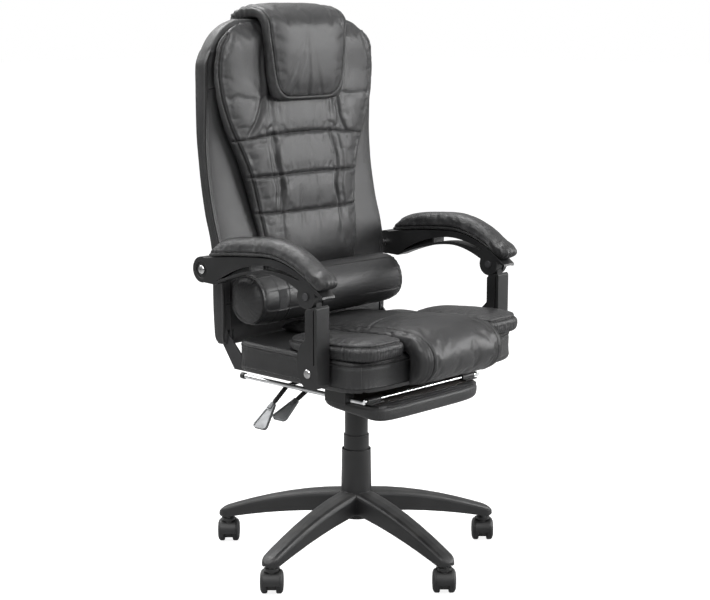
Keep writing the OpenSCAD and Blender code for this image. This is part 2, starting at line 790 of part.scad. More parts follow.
// Chrome straps that wrap the cross rod and screw to the footrest board
module foot_hinges() {
    board_top = rail_z - foot_board_drop;
    eye_d = cross_rod_d + 2 * hinge_wall;
    color("#cfd2d6") both_sides() difference() {
        union() {
            x_cylinder(hinge_x, hinge_w, eye_d, [cross_rod_y, rail_z], small_fn);
            translate([hinge_x, cross_rod_y - hinge_half, board_top]) cube([hinge_w, 2 * hinge_half, hinge_wall]);
            translate([hinge_x, cross_rod_y - eye_d / 2, board_top])
                cube([hinge_w, eye_d, rail_z - board_top]);
        }
        x_cylinder(hinge_x - cut, hinge_w + 2 * cut, cross_rod_d + 2 * running_gap, [cross_rod_y, rail_z], small_fn);
        translate([hinge_x - cut, cross_rod_y - foot_depth / 2, board_top - eye_d])
            cube([hinge_w + 2 * cut, foot_depth, eye_d]);
    }
}

function foot_front_y() = cross_rod_y - foot_front;
foot_mid_y = foot_front_y() + foot_depth / 2;
foot_top_z = rail_z - foot_board_drop;

module foot_board_shape(grow, t) {
    translate([-foot_w / 2 + foot_board_in - grow, foot_front_y() + foot_board_in + hinge_wall - grow, foot_top_z - t])
        cube([foot_w - 2 * foot_board_in + 2 * grow, foot_depth - 2 * foot_board_in - hinge_wall + 2 * grow, t]);
}

module foot_board() {
    color("#8a6c4a") foot_board_shape(0, foot_board_t);
}

// Levels of a cushion: share of its height, then inset as a share of its half width
foot_levels_shares = [[0, 0.42], [0.02, 0.2], [0.09, 0.07], [0.28, 0.012], [0.6, 0], [0.85, 0.02], [1, 0.1]];

// Outline with its own power in each quarter, from +X round by +Y
function quarter_power(t, p) = t < 90 ? p[0] : t < 180 ? p[1] : t < 270 ? p[2] : p[3];
function plan_ring(a, b, p, n) = [for (i = [0:n - 1])
    let (t = 360 * i / n, e = 2 / quarter_power(t, p)) [a * signed_power(cos(t), e), b * signed_power(sin(t), e)]];

module foot_pad() {
    a = foot_w / 2;
    b = foot_depth / 2;
    color("#26282b")
    difference() {
        ring_loft([for (level = foot_levels_shares)
            [for (p = plan_ring(a - b * level[1], b * (1 - level[1]), [7, 7, 7, 7], 36))
                let (y = foot_mid_y + p[1], low = foot_top_z - foot_t + foot_rise * (p[1] + b) / foot_depth)
                [p[0], y, low + (foot_top_z - low) * level[0]]]]);
        foot_board_shape(soft_gap, foot_board_t + soft_gap);
        foot_board_shape(soft_gap, -cut);
        translate([-foot_w / 2 + foot_board_in - soft_gap,
            foot_front_y() + foot_board_in + hinge_wall - soft_gap, foot_top_z - soft_gap])
            cube([foot_w - 2 * foot_board_in + 2 * soft_gap,
                foot_depth - 2 * foot_board_in - hinge_wall + 2 * soft_gap, foot_t]);
    }
}

// Seat box: the padded border and the flat under the cushions
seat_mid_y = (seat_rear - seat_front) / 2;
seat_box_top_z = seat_z + seat_box_h;
seat_edge_r = 7;
seat_levels_shares = [[0, 1], [0.05, 0.3], [0.2, 0], [0.75, 0], [0.93, 0.3], [1, 0.9]];
slot_gap = 0.3;
slot_roof = 5;
spacer_d = 14;

module seat_box() {
    depth = (seat_front + seat_rear) / 2;
    color("#26282b")
    difference() {
        ring_loft([for (level = seat_levels_shares)
            [for (p = plan_ring(seat_w / 2 - seat_edge_r * level[1], depth - seat_edge_r * level[1], [12, 12, 7, 7], 40))
                [p[0], seat_mid_y + p[1], seat_z + seat_box_h * level[0]]]]);
        translate([-board_half_w - soft_gap, -seat_front + board_front_in - soft_gap, seat_z - cut])
            cube([2 * (board_half_w + soft_gap),
                seat_front + seat_rear - board_front_in - board_rear_in + 2 * soft_gap, board_t + soft_gap + cut]);
        both_sides() {
            translate([plate_x - slot_gap, low_pivot[0] - plate_end_d / 2 - slot_gap, seat_z - cut])
                cube([plate_t + 2 * slot_gap, seat_rear - low_pivot[0] + plate_end_d, seat_box_h - slot_roof + cut]);
            x_cylinder(plate_x, seat_w, spacer_d + 2 * soft_gap, low_pivot, small_fn);
        }
    }
}

// Thigh pads on the front corners of the seat box
thigh_overhang = 4;
thigh_inner_gap = 1.5;
thigh_front_reach = 12;
thigh_rear_share = 0.62;
thigh_levels_shares = [[0, 0.1], [0.1, 0.03], [0.3, 0], [0.55, 0.01], [0.8, 0.08], [0.94, 0.22], [1, 0.5]];
thigh_powers = [3.2, 4, 9, 3];

module thigh_pad() {
    inner_x = centre_w / 2 + thigh_inner_gap;
    a = (seat_w / 2 + thigh_overhang - inner_x) / 2;
    b = thigh_len / 2;
    mid_y = -seat_front - thigh_front_reach + b;
    color("#26282b")
    ring_loft([for (level = thigh_levels_shares)
        [for (p = plan_ring(a * (1 - level[1]), b - a * level[1], thigh_powers, 28))
            let (front = (b - p[1]) / thigh_len, h = thigh_h * (thigh_rear_share + (1 - thigh_rear_share) * front))
            [inner_x + a + p[0], mid_y + p[1], seat_box_top_z + soft_gap + h * level[0]]]]);
}

// Centre cushion: flat over the seat box, with a roll down its front
roll_low_h = -3;
roll_hem = 2;
roll_lines_shares = [
    [0, 0.42], [0.14, 0.5], [0.3, 0.58], [0.46, 0.7], [0.62, 0.84], [0.78, 0.95], [0.9, 1]
];
centre_width_shares = [-1, -0.985, -0.95, -0.88, -0.72, -0.4, 0, 0.4, 0.72, 0.88, 0.95, 0.985, 1];
centre_full_shares = [0.4, 0.62, 0.8, 0.91, 0.98, 1, 1, 1, 0.98, 0.91, 0.8, 0.62, 0.4];
roll_angles = [70, 48, 26, 4, -18, -40, -62, -84];

module centre_cushion() {
    z0 = seat_box_top_z + soft_gap;
    front_y = -seat_front - soft_gap;
    low_z = seat_z + roll_low_h;
    roll_z = (z0 + centre_h + low_z) / 2;
    roll_h = (z0 + centre_h - low_z) / 2;
    run = seat_front + seat_rear;
    top_outer = [for (s = roll_lines_shares) [seat_rear - soft_gap - run * s[0], z0 + centre_h * s[1]]];
    top_inner = [for (s = roll_lines_shares) [seat_rear - soft_gap - run * s[0], z0]];
    roll_outer = [for (t = roll_angles) [front_y + roll_h * 0.2 - (roll_reach + roll_h * 0.2) * cos(t), roll_z + roll_h * sin(t)]];
    roll_inner = [for (i = [0:len(roll_angles) - 1]) let (s = i / (len(roll_angles) - 1))
        s < 0.3 ? [front_y + roll_h * 0.35 * (0.3 - s), z0] : [front_y - roll_h * 0.04, z0 + (low_z + roll_hem - z0) * (s - 0.16) / 0.84]];
    color("#26282b")
    ribbon_cushion(concat(top_inner, roll_inner), concat(top_outer, roll_outer), centre_w / 2,
        centre_width_shares, centre_full_shares);
}

// Back: lines against the share of its height
back_foot_z = seat_z + 46;
back_foot_in = 15;
back_foot_y = back_pivot[0] - back_foot_in;
lean_table_shares = [[0, 0], [0.12, 0.06], [0.26, 0.09], [0.32, 0.22], [0.41, 0.58], [0.48, 0.75], [0.54, 0.9],
    [0.6, 0.98], [0.66, 1.03], [0.82, 1.03], [0.92, 0.92], [1, 0.8]];
width_table_shares = [[0, 0.985], [0.03, 1], [0.86, 1], [0.9, 0.965], [0.95, 0.885], [0.985, 0.77], [1, 0.66]];
thick_table_shares = [[0, 0.8], [0.02, 1], [0.12, 1.1], [0.41, 0.93], [0.55, 0.93], [0.8, 1.14], [0.93, 1.1],
    [0.98, 0.8], [1, 0.4]];
shell_rings_shares = [0, 0.012, 0.04, 0.12, 0.2, 0.26, 0.32, 0.42, 0.48, 0.54, 0.6, 0.66, 0.74, 0.82, 0.88, 0.92,
    0.95, 0.98, 1];
back_power = 6;
rear_crown = 8;

function back_front_y(s) = back_foot_y + back_lean * lookup(s, lean_table_shares);
function back_half_w(s) = back_w / 2 * lookup(s, width_table_shares);
function back_thick(s) = back_t * lookup(s, thick_table_shares);
function shell_mid_y(s) = back_front_y(s) + back_t / 2;
// Front face of the shell, straight from ring to ring
front_rings = [for (s = shell_rings_shares) [s, shell_mid_y(s) - back_thick(s) / 2]];
function shell_front_y(s) = lookup(s, front_rings);

module back_shell() {
    color("#26282b")
    difference() {
        ring_loft([for (s = shell_rings_shares)
            let (w = back_half_w(s))
            [for (p = plan_ring(w, back_thick(s) / 2, [back_power, back_power, back_power, back_power], 32))
                [p[0], shell_mid_y(s) + p[1] + (p[1] > 0 ? rear_crown * (1 - pow(p[0] / w, 2)) : 0),
                    back_foot_z + back_h * s]]]);
        strap_slots();
    }
}

// Frame of the back: a strap on each side and two cross bars
strap_w = 26;
bar_d = 16;
bar_gap = 0.3;
strap_lean = atan2(rear_pivot[0] - back_pivot[0], rear_pivot[1] - back_pivot[1]);

module strap_outline(grow) {
    translate(back_pivot) circle(d = strap_w + 2 * grow, $fn = small_fn);
    translate(rear_pivot) circle(d = strap_w + 2 * grow, $fn = small_fn);
    translate(back_pivot) rotate(-strap_lean)
        translate([-strap_w / 2 - grow, 0]) square([strap_w + 2 * grow, norm(rear_pivot - back_pivot)]);
}

module back_frame() {
    color("#2c2d30") {
        both_sides() difference() {
            side_extrude(strap_x, plate_t) strap_outline(0);
            x_cylinder(strap_x - cut, plate_t + 2 * cut, hinge_pin_d + 2 * running_gap, back_pivot, small_fn);
            x_cylinder(strap_x - cut, plate_t + 2 * cut, bolt_d, rear_pivot, small_fn);
        }
        for (share = [0.22, 0.8])
            x_cylinder(-strap_x, 2 * strap_x, bar_d, back_pivot + (rear_pivot - back_pivot) * share, small_fn);
    }
}

module strap_slots() {
    low = back_foot_z - cut;
    both_sides() {
        // Slot of the strap, open below
        side_extrude(strap_x - slot_gap, plate_t + 2 * slot_gap) {
            strap_outline(slot_gap);
            translate([back_pivot[0] - strap_w / 2 - slot_gap, low])
                square([strap_w + 2 * slot_gap, back_pivot[1] - low]);
        }
        // Room for the hinge plate's eye and its bar through the recline
        side_extrude(strap_x - pin_head_h - slot_gap, plate_x + plate_t - strap_x + pin_head_h + 3 * slot_gap) {
            translate(back_pivot) circle(d = plate_end_d + 4 * slot_gap, $fn = small_fn);
            translate([back_pivot[0] - back_t, low])
                square([back_t + plate_end_d / 2 + 2 * slot_gap, back_pivot[1] - low]);
            translate([back_pivot[0] - back_t, back_pivot[1] - plate_end_d])
                square([back_t, plate_end_d * 1.5 + 2 * slot_gap]);
        }
        x_cylinder(strap_x, back_w, spacer_d + 2 * soft_gap, rear_pivot, small_fn);
    }
    for (share = [0.22, 0.8])
        x_cylinder(-strap_x - cut, 2 * strap_x + 2 * cut, bar_d + 2 * bar_gap,
            back_pivot + (rear_pivot - back_pivot) * share, small_fn);
}

// Front panel: quilted, wide at the shoulders and narrow at the waist
panel_foot_h = 96;
panel_top_in = 20;
panel_gap = 0.6;
panel_width_shares = [[0, 0.5], [0.014, 0.57], [0.05, 0.59], [0.18, 0.595], [0.28, 0.625], [0.36, 0.645],
    [0.49, 0.705], [0.56, 0.765], [0.63, 0.85], [0.67, 0.9], [0.78, 0.98], [0.86, 1], [0.93, 0.95], [0.97, 0.84],
    [0.99, 0.74], [1, 0.62]];
panel_thick_shares = [[0, 0.12], [0.014, 0.18], [0.05, 0.2], [0.14, 0.2], [0.2, 0.4], [0.28, 0.6], [0.36, 0.81],
    [0.49, 1], [0.63, 0.88], [0.78, 0.57], [0.9, 0.46], [0.97, 0.35], [1, 0.15]];
panel_end_shares = [0, 0.014, 0.03, 0.99, 1];
panel_side_share = 0.36;
panel_face_share = 0.45;
seam_shares = [0.36, 0.492, 0.629];
seam_reach_share = 0.012;
seam_dip_share = 0.16;
column_place_share = 0.55;
column_dip_share = 0.07;
column_reach_share = 0.07;
panel_cross = 15;
panel_foot_z = seat_z + panel_foot_h;
panel_top_z = back_foot_z + back_h - panel_top_in;

// Stations: the plain ones and three for each cross seam, in order
function sorted(v) = len(v) < 2 ? v : let (k = v[0])
    concat(sorted([for (x = v) if (x < k) x]), [k], sorted([for (x = v) if (x > k) x]));
panel_h = panel_top_z - panel_foot_z;
shell_stations = [for (r = shell_rings_shares) (back_foot_z + back_h * r - panel_foot_z) / panel_h];
panel_stations = sorted(concat(panel_end_shares,
    [for (s = shell_stations) if (s > panel_end_shares[2] && s < panel_end_shares[3]) s],
    [for (s = seam_shares) each [s - seam_reach_share, s, s + seam_reach_share]]));

function on_seam(s) = len([for (m = seam_shares) if (abs(s - m) < seam_reach_share / 4) m]) > 0;
function column_dip(u, s) = s > 0.1 && s < 0.7
    ? column_dip_share * exp(-pow((abs(u) - column_place_share) / column_reach_share, 2)) : 0;
function back_share(z) = (z - back_foot_z) / back_h;
function panel_depth(s) = panel_t * lookup(s, panel_thick_shares) * (1 - (on_seam(s) ? seam_dip_share : 0));
function panel_rear_y(z) = shell_front_y(back_share(z)) - panel_gap;

module back_panel() {
    color("#2a2c2f")
    ring_loft([for (s = panel_stations)
        let (z = panel_foot_z + panel_h * s, w = panel_w / 2 * lookup(s, panel_width_shares), rear = panel_rear_y(z),
            deep = panel_depth(s))
        concat(
            [for (i = [0:panel_cross - 1])
                let (t = 180 + 180 * (i + 0.5) / panel_cross, u = signed_power(cos(t), panel_side_share),
                    v = pow(abs(sin(t)), panel_face_share))
                [w * u, rear - deep * v * (1 - column_dip(u, s)), z]],
            [for (i = [4:-1:0]) [w * 0.96 * (i - 2) / 2, rear, z]])]);
}

// Headrest pillow: over the shoulders and down the front of the back
head_over = 36;
head_flap = 70;
head_gap = 1.2;
head_line_shares = [0.0, 0.05, 0.16, 0.34, 0.55, 0.75, 0.92];
head_full_shares = [0.16, 0.5, 0.84, 1, 1, 0.92, 0.86];
head_width_shares = [-1, -0.985, -0.94, -0.85, -0.66, -0.35, 0, 0.35, 0.66, 0.85, 0.94, 0.985, 1];
head_draw_shares = [0.22, 0.5, 0.74, 0.89, 0.98, 1, 1, 1, 0.98, 0.89, 0.74, 0.5, 0.22];
back_top_z = back_foot_z + back_h;

// Front face of the panel at its middle, at height z
function panel_front_y(z) = let (s = (z - panel_foot_z) / panel_h)
    panel_rear_y(z) - panel_t * lookup(s, panel_thick_shares);
// The same face, taken a little lower where it curves away from the pillow
function head_seat_y(z) = min(panel_front_y(z), panel_front_y(z - head_over / 3));

module headrest_pillow() {
    top_z = back_top_z + soft_gap;
    low_z = back_top_z - head_drop;
    crest_y = back_front_y(1) + back_t / 2;
    rear_y = back_front_y(0.95) + back_t * 1.25 + rear_crown + soft_gap;
    front_inner = [for (s = head_line_shares) let (z = low_z + (top_z - low_z) * s * 0.93)
        [head_seat_y(z) - head_gap, z]];
    front_outer = [for (i = [0:len(head_line_shares) - 1])
        let (s = head_line_shares[i], z = low_z + (top_z + head_over * 0.55 - low_z) * s)
        [panel_front_y(min(z, panel_top_z - panel_top_in)) - head_t * head_full_shares[i], z]];
    over_inner = [[crest_y - back_t / 2, top_z], [crest_y, top_z], [crest_y + back_t * 0.4, top_z]];
    over_outer = [
        [crest_y - back_t * 0.75, top_z + head_over * 0.86], [crest_y - back_t * 0.1, top_z + head_over],
        [crest_y + back_t * 0.62, top_z + head_over * 0.86]
    ];
    rear_inner = [[rear_y, top_z - head_flap * 0.2], [rear_y, top_z - head_flap * 0.6], [rear_y, top_z - head_flap]];
    rear_outer = [
        [rear_y + head_over * 0.4, top_z + head_over * 0.25], [rear_y + head_over * 0.42, top_z - head_flap * 0.5],
        [rear_y + head_over * 0.2, top_z - head_flap * 0.98]
    ];
    inner = concat(front_inner, over_inner, rear_inner);
    outer = concat(front_outer, over_outer, rear_outer);
    k = len(inner);
    color("#2a2c2f")
    ribbon_cushion([for (i = [k - 1:-1:0]) inner[i]], [for (i = [k - 1:-1:0]) outer[i]], head_w / 2,
        head_width_shares, head_draw_shares);
}

// Lumbar roll: a bolster with domed ends, and the elastic strap round it
lumbar_shift = -27;
lumbar_h = 148;
lumbar_end_shares = [[-1, 0.3], [-0.985, 0.62], [-0.95, 0.82], [-0.88, 0.95], [-0.76, 1], [-0.4, 1], [0, 1],
    [0.4, 1], [0.76, 1], [0.88, 0.95], [0.95, 0.82], [0.985, 0.62], [1, 0.3]];
lumbar_flat_share = 0.87;
strap_open_share = 0.8;
lumbar_z = seat_z + lumbar_h;
lumbar_rest_y = min([for (k = [-1, 0, 1]) panel_front_y(lumbar_z + k * lumbar_d / 4)]);
lumbar_y = lumbar_rest_y - soft_gap - lumbar_flat_share * lumbar_d / 2;
strap_t = 1.2;
strap_band = 24;
strap_in = 52;

module lumbar_roll() {
    color("#26282b")
    ring_loft([for (s = lumbar_end_shares)
        [for (i = [0:19]) [lumbar_shift + lumbar_len / 2 * s[0],
            lumbar_y + lumbar_d / 2 * s[1] * min(cos(18 * i), lumbar_flat_share),
            lumbar_z + lumbar_d / 2 * s[1] * sin(18 * i)]]]);
}

module lumbar_strap() {
    x0 = lumbar_shift - lumbar_len / 2 + strap_in;
    color("#1a1b1d")
    difference() {
        x_cylinder(x0, strap_band, lumbar_d + 2 * soft_gap + 2 * strap_t, [lumbar_y, lumbar_z]);
        x_cylinder(x0 - cut, strap_band + 2 * cut, lumbar_d + 2 * soft_gap, [lumbar_y, lumbar_z]);
        // Open where the roll lies against the back
        translate([x0 - cut, lumbar_y + strap_open_share * lumbar_d / 2, lumbar_z - lumbar_d])
            cube([strap_band + 2 * cut, lumbar_d, 2 * lumbar_d]);
    }
}

// Arms: curves of the frame's edges on both sides of its crest
// Each edge falls away from the crest: its height there, then the fall, the
// length and the power of its curve, first to the rear and then to the front.
// Heights are shares of the crest's height and lengths are shares of the reach.
crest_y = -42;
arm_reach = 199;
top_edge_shares = [1, 0.0751, 1, 1.5, 0.1779, 0.6482, 1.9];
slot_top_shares = [0.9447, 0.2055, 0.804, 1.94, 0.083, 0.4774, 1.71];
slot_low_shares = [0.9051, 0.1621, 0.804, 1.65, 0.0435, 0.4774, 1.8];
arch_shares = [0.8814, 0.1581, 0.804, 1.7, 0.1146, 0.4774, 1.8];
function edge_of(s) = [seat_z + arm_crest_h * s[0], arm_crest_h * s[1], arm_reach * s[2], s[3],
    arm_crest_h * s[4], arm_reach * s[5], s[6]];
top_edge = edge_of(top_edge_shares);
slot_top_edge = edge_of(slot_top_shares);
slot_low_edge = edge_of(slot_low_shares);
arch_edge = edge_of(arch_shares);
nose_len = 20;
nose_step = 5;
lug_d = 54;
lug_ring_depth = 2;
arm_steps = 10;
slot_through_y = 9;
slot_front_in = 8;
slot_web = 9;
ear_gap = 0.3;
fork_round_in = 1;
eye_in = 5;
eye_d = boss_d - eye_in;
ear_share = 0.235;
arm_mid_x = arm_inner_x + arm_w / 2;

function edge_z(e, y) = y > crest_y
    ? e[0] - e[1] * pow((y - crest_y) / e[2], e[3])
    : e[0] - e[4] * pow((crest_y - y) / e[5], e[6]);
function steps(a, b, n) = [for (i = [0:n]) a + (b - a) * i / n];
function edge_line(e, a, b, n) = [for (y = steps(a, b, n)) [y, edge_z(e, y)]];

module frame_outline() {
    front_y = crest_y - top_edge[5] - nose_len;
    polygon(concat(
        edge_line(top_edge, rear_pivot[0], front_y, 2 * arm_steps),
        [[front_y - nose_step / 5, edge_z(top_edge, front_y) - nose_step],
            [front_pivot[0] - boss_d / 3, front_pivot[1] + boss_d / 4]],
        edge_line(arch_edge, crest_y - arch_edge[5], crest_y + arch_edge[2], 2 * arm_steps),
        [[rear_pivot[0] - lug_d / 8, rear_pivot[1] - lug_d * 0.48]]));
    translate(rear_pivot) circle(d = lug_d, $fn = round_fn);
    translate(front_pivot) circle(d = boss_d, $fn = round_fn);
}

// Crescent between the arm's upper band and its lower arch
module slot_outline(y_rear, y_front) {
    polygon(concat(edge_line(slot_top_edge, y_rear, y_front, arm_steps),
        edge_line(slot_low_edge, y_front, y_rear, arm_steps)));
}

module arm_frame() {
    fork_w = 2 * (arm_w * ear_share + ear_gap);
    color("#1f2023")
    difference() {
        side_extrude(arm_inner_x, arm_w) frame_outline();
        side_extrude(arm_inner_x - cut, arm_w + 2 * cut)
            slot_outline(slot_through_y, crest_y - slot_low_edge[5] + slot_front_in);
        for (x0 = [arm_inner_x - cut, arm_mid_x + slot_web / 2])
            side_extrude(x0, arm_w / 2 - slot_web / 2 + cut)
                slot_outline(crest_y + slot_low_edge[2] - slot_front_in, slot_through_y + slot_front_in / 2);
        // Fork for the eye of the upright
        x_cylinder(arm_mid_x - fork_w / 2, fork_w, boss_d - fork_round_in, front_pivot, round_fn);
        translate([arm_mid_x - fork_w / 2, front_pivot[0] - boss_d, front_pivot[1] - boss_d])
            cube([fork_w, 1.55 * boss_d, boss_d]);
        x_cylinder(arm_inner_x - cut, arm_w + 2 * cut, bolt_d, front_pivot, small_fn);
        x_cylinder(arm_inner_x - cut, arm_w + 2 * cut, bolt_d + 2 * running_gap, rear_pivot, small_fn);
        // Shallow ring round the rear pivot on the outer face
        x_cylinder(arm_inner_x + arm_w - lug_ring_depth, lug_ring_depth + cut, lug_d * 0.66, rear_pivot, round_fn);
    }
}

// Padded top of the arm, rolled over the front end
pad_lines_shares = [[0.03, 0.45], [0.1, 0.8], [0.18, 0.95], [0.26, 1], [0.34, 1], [0.42, 1], [0.5, 1.02], [0.56, 1.03],
    [0.62, 1.03], [0.68, 1.04], [0.74, 1.04], [0.79, 1.04], [0.84, 1.02], [0.88, 0.97], [0.915, 0.88], [0.95, 0.72],
    [0.98, 0.46], [1, 0.16]];
pad_width_shares = [-1, -0.96, -0.84, -0.55, 0, 0.55, 0.84, 0.96, 1];
pad_draw_shares = [0.42, 0.66, 0.86, 0.97, 1, 0.97, 0.86, 0.66, 0.42];
pad_rear_y = 138;
pad_front_len = 164;
pad_edge_in = 3;
pad_tip = 7;

module arm_pad() {
    run = pad_rear_y - crest_y + pad_front_len;
    inner = [for (s = pad_lines_shares) let (y = pad_rear_y + pad_edge_in - run * s[0] * 0.93)
        [y, edge_z(top_edge, y) + soft_gap]];
    outer = [for (s = pad_lines_shares) let (y = pad_rear_y + pad_edge_in - run * s[0])
        [y - (s[0] > 0.9 ? pad_tip * s[1] : 0), edge_z(top_edge, max(y, crest_y - top_edge[5])) + arm_pad_t * s[1]]];
    color("#26282b")
    translate([arm_mid_x, 0, 0]) ribbon_cushion(inner, outer, arm_pad_w / 2, pad_width_shares, pad_draw_shares);
}

// Upright: an eye in the arm's fork, a flanged post and a leaf-shaped foot
post_head_in = 25.5;
post_front_in = 26;
post_rear_in = 6;
post_corner = 4;
post_flange = 7;
post_groove_w = 3;
post_groove_depth = 9;
leaf_rise = 18;
leaf_r = 30;
leaf_h = 48;
leaf_steps = 16;
eye_round_gap = 1;
neck_front_share = 0.72;

module upright_outline() {
    top = front_pivot[1] - post_head_in;
    front = low_pivot[0] - post_front_in;
    rear = low_pivot[0] + post_rear_in;
    mid_z = low_pivot[1] + leaf_rise;
    polygon(concat(
        [[front, top + post_corner], [front + post_corner, top + 2 * post_corner], [rear - post_corner, top],
            [rear, top - post_corner], [rear, mid_z + leaf_h * 1.05]],
        [for (i = [2:leaf_steps]) let (t = 90 - 180 * i / leaf_steps)
            [low_pivot[0] + leaf_r * cos(t), mid_z + leaf_h * sin(t)]],
        [[front + post_corner, mid_z - leaf_h + post_corner / 2], [front, mid_z - leaf_h + 2 * post_corner]]));
}

module arm_upright() {
    eye_w = 2 * arm_w * ear_share - ear_gap;
    neck_w = eye_d * 0.6;
    groove_z = low_pivot[1] + leaf_rise;
    color("#1f2023")
    difference() {
        union() {
            difference() {
                side_extrude(arm_inner_x, arm_w) upright_outline();
                // Grooves behind the front flange, on both faces
                for (x0 = [arm_inner_x - cut, arm_inner_x + arm_w - post_groove_depth])
                    translate([x0, low_pivot[0] - post_front_in + post_flange, groove_z])
                        cube([post_groove_depth + cut, post_groove_w, front_pivot[1] - post_head_in - groove_z + cut]);
                x_cylinder(arm_inner_x - cut, arm_w + 2 * cut, boss_d + 2 * eye_round_gap, front_pivot, round_fn);
            }
            x_cylinder(arm_mid_x - eye_w / 2, eye_w, eye_d, front_pivot, round_fn);
            translate([arm_mid_x - eye_w / 2, front_pivot[0] - neck_w * neck_front_share, front_pivot[1] - boss_d * 0.8])
                cube([eye_w, neck_w, boss_d * 0.8]);
        }
        x_cylinder(arm_inner_x - cut, arm_w + 2 * cut, bolt_d + 2 * running_gap, front_pivot, small_fn);
        x_cylinder(arm_inner_x - cut, arm_w + 2 * cut, bolt_d + 2 * running_gap, low_pivot, small_fn);
    }
}

// Shoulder bolts: a spacer from the plate to the arm, a shank and a domed head
head_d = 18;
head_h = 3.5;

module shoulder_bolt(at, from_x, spacer_x) {
    x_cylinder(from_x, arm_inner_x + arm_w - from_x + cut / 2, bolt_d, at, small_fn);
    x_cylinder(spacer_x, arm_inner_x - running_gap - spacer_x, spacer_d, at, small_fn);
    translate([arm_inner_x + arm_w + running_gap, at[0], at[1]]) rotate([0, 90, 0])
        rotate_extrude($fn = small_fn) polygon([
            [0, 0], [head_d / 2, 0], [head_d / 2, head_h * 0.3], [head_d * 0.42, head_h * 0.65],
            [head_d * 0.25, head_h * 0.93], [0, head_h]
        ]);
}

module arm_rear_bolts() {
    color("#b9bcc0") both_sides() difference() {
        shoulder_bolt(rear_pivot, strap_x, strap_x + plate_t);
        x_cylinder(arm_inner_x + arm_w + running_gap + cut, head_h, head_h, rear_pivot, 6);
    }
}

module arm_low_bolts() {
    color("#d5d8db") both_sides() shoulder_bolt(low_pivot, plate_x, plate_x + plate_t);
}

cap_h = 2.5;
cap_d = 15;

module arm_pin() {
    color("#3a3c3f") {
        x_cylinder(arm_inner_x - cap_h / 2, arm_w + cap_h, bolt_d, front_pivot, small_fn);
        for (end = [arm_inner_x - cap_h, arm_inner_x + arm_w])
            x_cylinder(end, cap_h, cap_d, front_pivot, small_fn);
    }
}

star_base();
caster_stems();
for (i = [0:leg_count - 1]) {
    caster_hood(i);
    caster_axle(i);
    caster_wheels(i);
}
stand_tube();
guide_bush();
thrust_bearing();
piston_rod();
pressure_tube();
lower_cover();
middle_cover();
upper_cover();
mechanism();
seat_board();
hinge_plates();
seat_pins();
rail_guides();
seat_box();
thigh_pad();  // thigh_pad_left
mirror([1, 0, 0]) thigh_pad();  // thigh_pad_right
centre_cushion();
back_frame();
back_shell();
back_panel();
headrest_pillow();
lumbar_roll();
lumbar_strap();
arm_frame();  // arm_frame_left
mirror([1, 0, 0]) arm_frame();  // arm_frame_right
arm_pad();  // arm_pad_left
mirror([1, 0, 0]) arm_pad();  // arm_pad_right
arm_upright();  // arm_upright_left
mirror([1, 0, 0]) arm_upright();  // arm_upright_right
arm_rear_bolts();
arm_pin();  // arm_pin_left
mirror([1, 0, 0]) arm_pin();  // arm_pin_right
arm_low_bolts();
foot_rails();
rail_caps();
cross_rod();
foot_hinges();
foot_board();
foot_pad();
lever_rod(lift_lever_y, lift_bend, lift_end, lift_droop);  // lift_lever
lever_paddle(lift_lever_y, lift_end, lift_droop);  // lift_paddle
lever_rod(lock_lever_y, lock_bend, lock_end, lock_droop);  // lock_lever
lever_paddle(lock_lever_y, lock_end, lock_droop);  // lock_paddle
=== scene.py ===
# %% [markdown]
# # A reclining office chair with a pull-out footrest
# The metal, moulded and wooden parts come from the CAD model, which is loaded as a fixed
# frame and only gets finishes here. The padded parts are built here as upholstery. Each is
# a closed skin, and most are blown up a little like a stuffed cover. Then come the seams,
# welts, gathers and creases. All lengths are metres, the front is -Y and Z is up.

import math

import bpy
import numpy as np
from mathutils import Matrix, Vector


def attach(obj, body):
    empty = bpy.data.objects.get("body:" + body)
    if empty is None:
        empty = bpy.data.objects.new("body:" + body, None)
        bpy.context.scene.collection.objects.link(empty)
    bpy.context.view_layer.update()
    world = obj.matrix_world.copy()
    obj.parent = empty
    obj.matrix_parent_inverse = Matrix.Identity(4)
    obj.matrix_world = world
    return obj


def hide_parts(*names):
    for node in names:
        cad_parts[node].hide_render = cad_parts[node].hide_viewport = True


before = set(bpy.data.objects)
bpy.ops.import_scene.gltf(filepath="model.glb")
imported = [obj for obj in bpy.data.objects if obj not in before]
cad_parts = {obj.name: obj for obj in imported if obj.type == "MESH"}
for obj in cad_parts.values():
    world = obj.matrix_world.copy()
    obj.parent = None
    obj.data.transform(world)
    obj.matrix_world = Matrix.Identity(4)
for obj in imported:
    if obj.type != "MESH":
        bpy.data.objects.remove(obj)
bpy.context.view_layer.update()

# %% [markdown]
# The camera stands to the front and the right of the chair at about chest height, with a
# long lens, so that upright lines stay nearly parallel. Its place was worked out from
# edges in the photograph whose real directions are known.

# %% Camera
scene = bpy.context.scene


def placed(name, data):
    obj = bpy.data.objects.new(name, data)
    scene.collection.objects.link(obj)
    return obj


def aim(obj, forward):
    obj.rotation_mode = "QUATERNION"
    obj.rotation_quaternion = Vector(forward).to_track_quat("-Z", "Y")


lens = bpy.data.cameras.new("photo_lens")
lens.lens, lens.sensor_width = 80.96, 36.0
camera = scene.camera = placed("photo_camera", lens)
camera.location = (-2.431, -2.303, 1.170)
aim(camera, (0.7139, 0.6775, -0.1772))
print("camera at", tuple(round(v, 3) for v in camera.location))

# %% [markdown]
# The light of the room and every finish are made of nodes. These small helpers add a node,
# set its plain values and join its inputs, so that a material reads as a list of what
# feeds what.

# %% Node helpers
def node(tree, kind, links=None, **values):
    made = tree.nodes.new("ShaderNode" + kind)
    for key, value in values.items():
        if hasattr(made, key):
            setattr(made, key, value)
        else:
            made.inputs[key].default_value = value
    for key, source in (links or {}).items():
        tree.links.new(source, made.inputs[key])
    return made


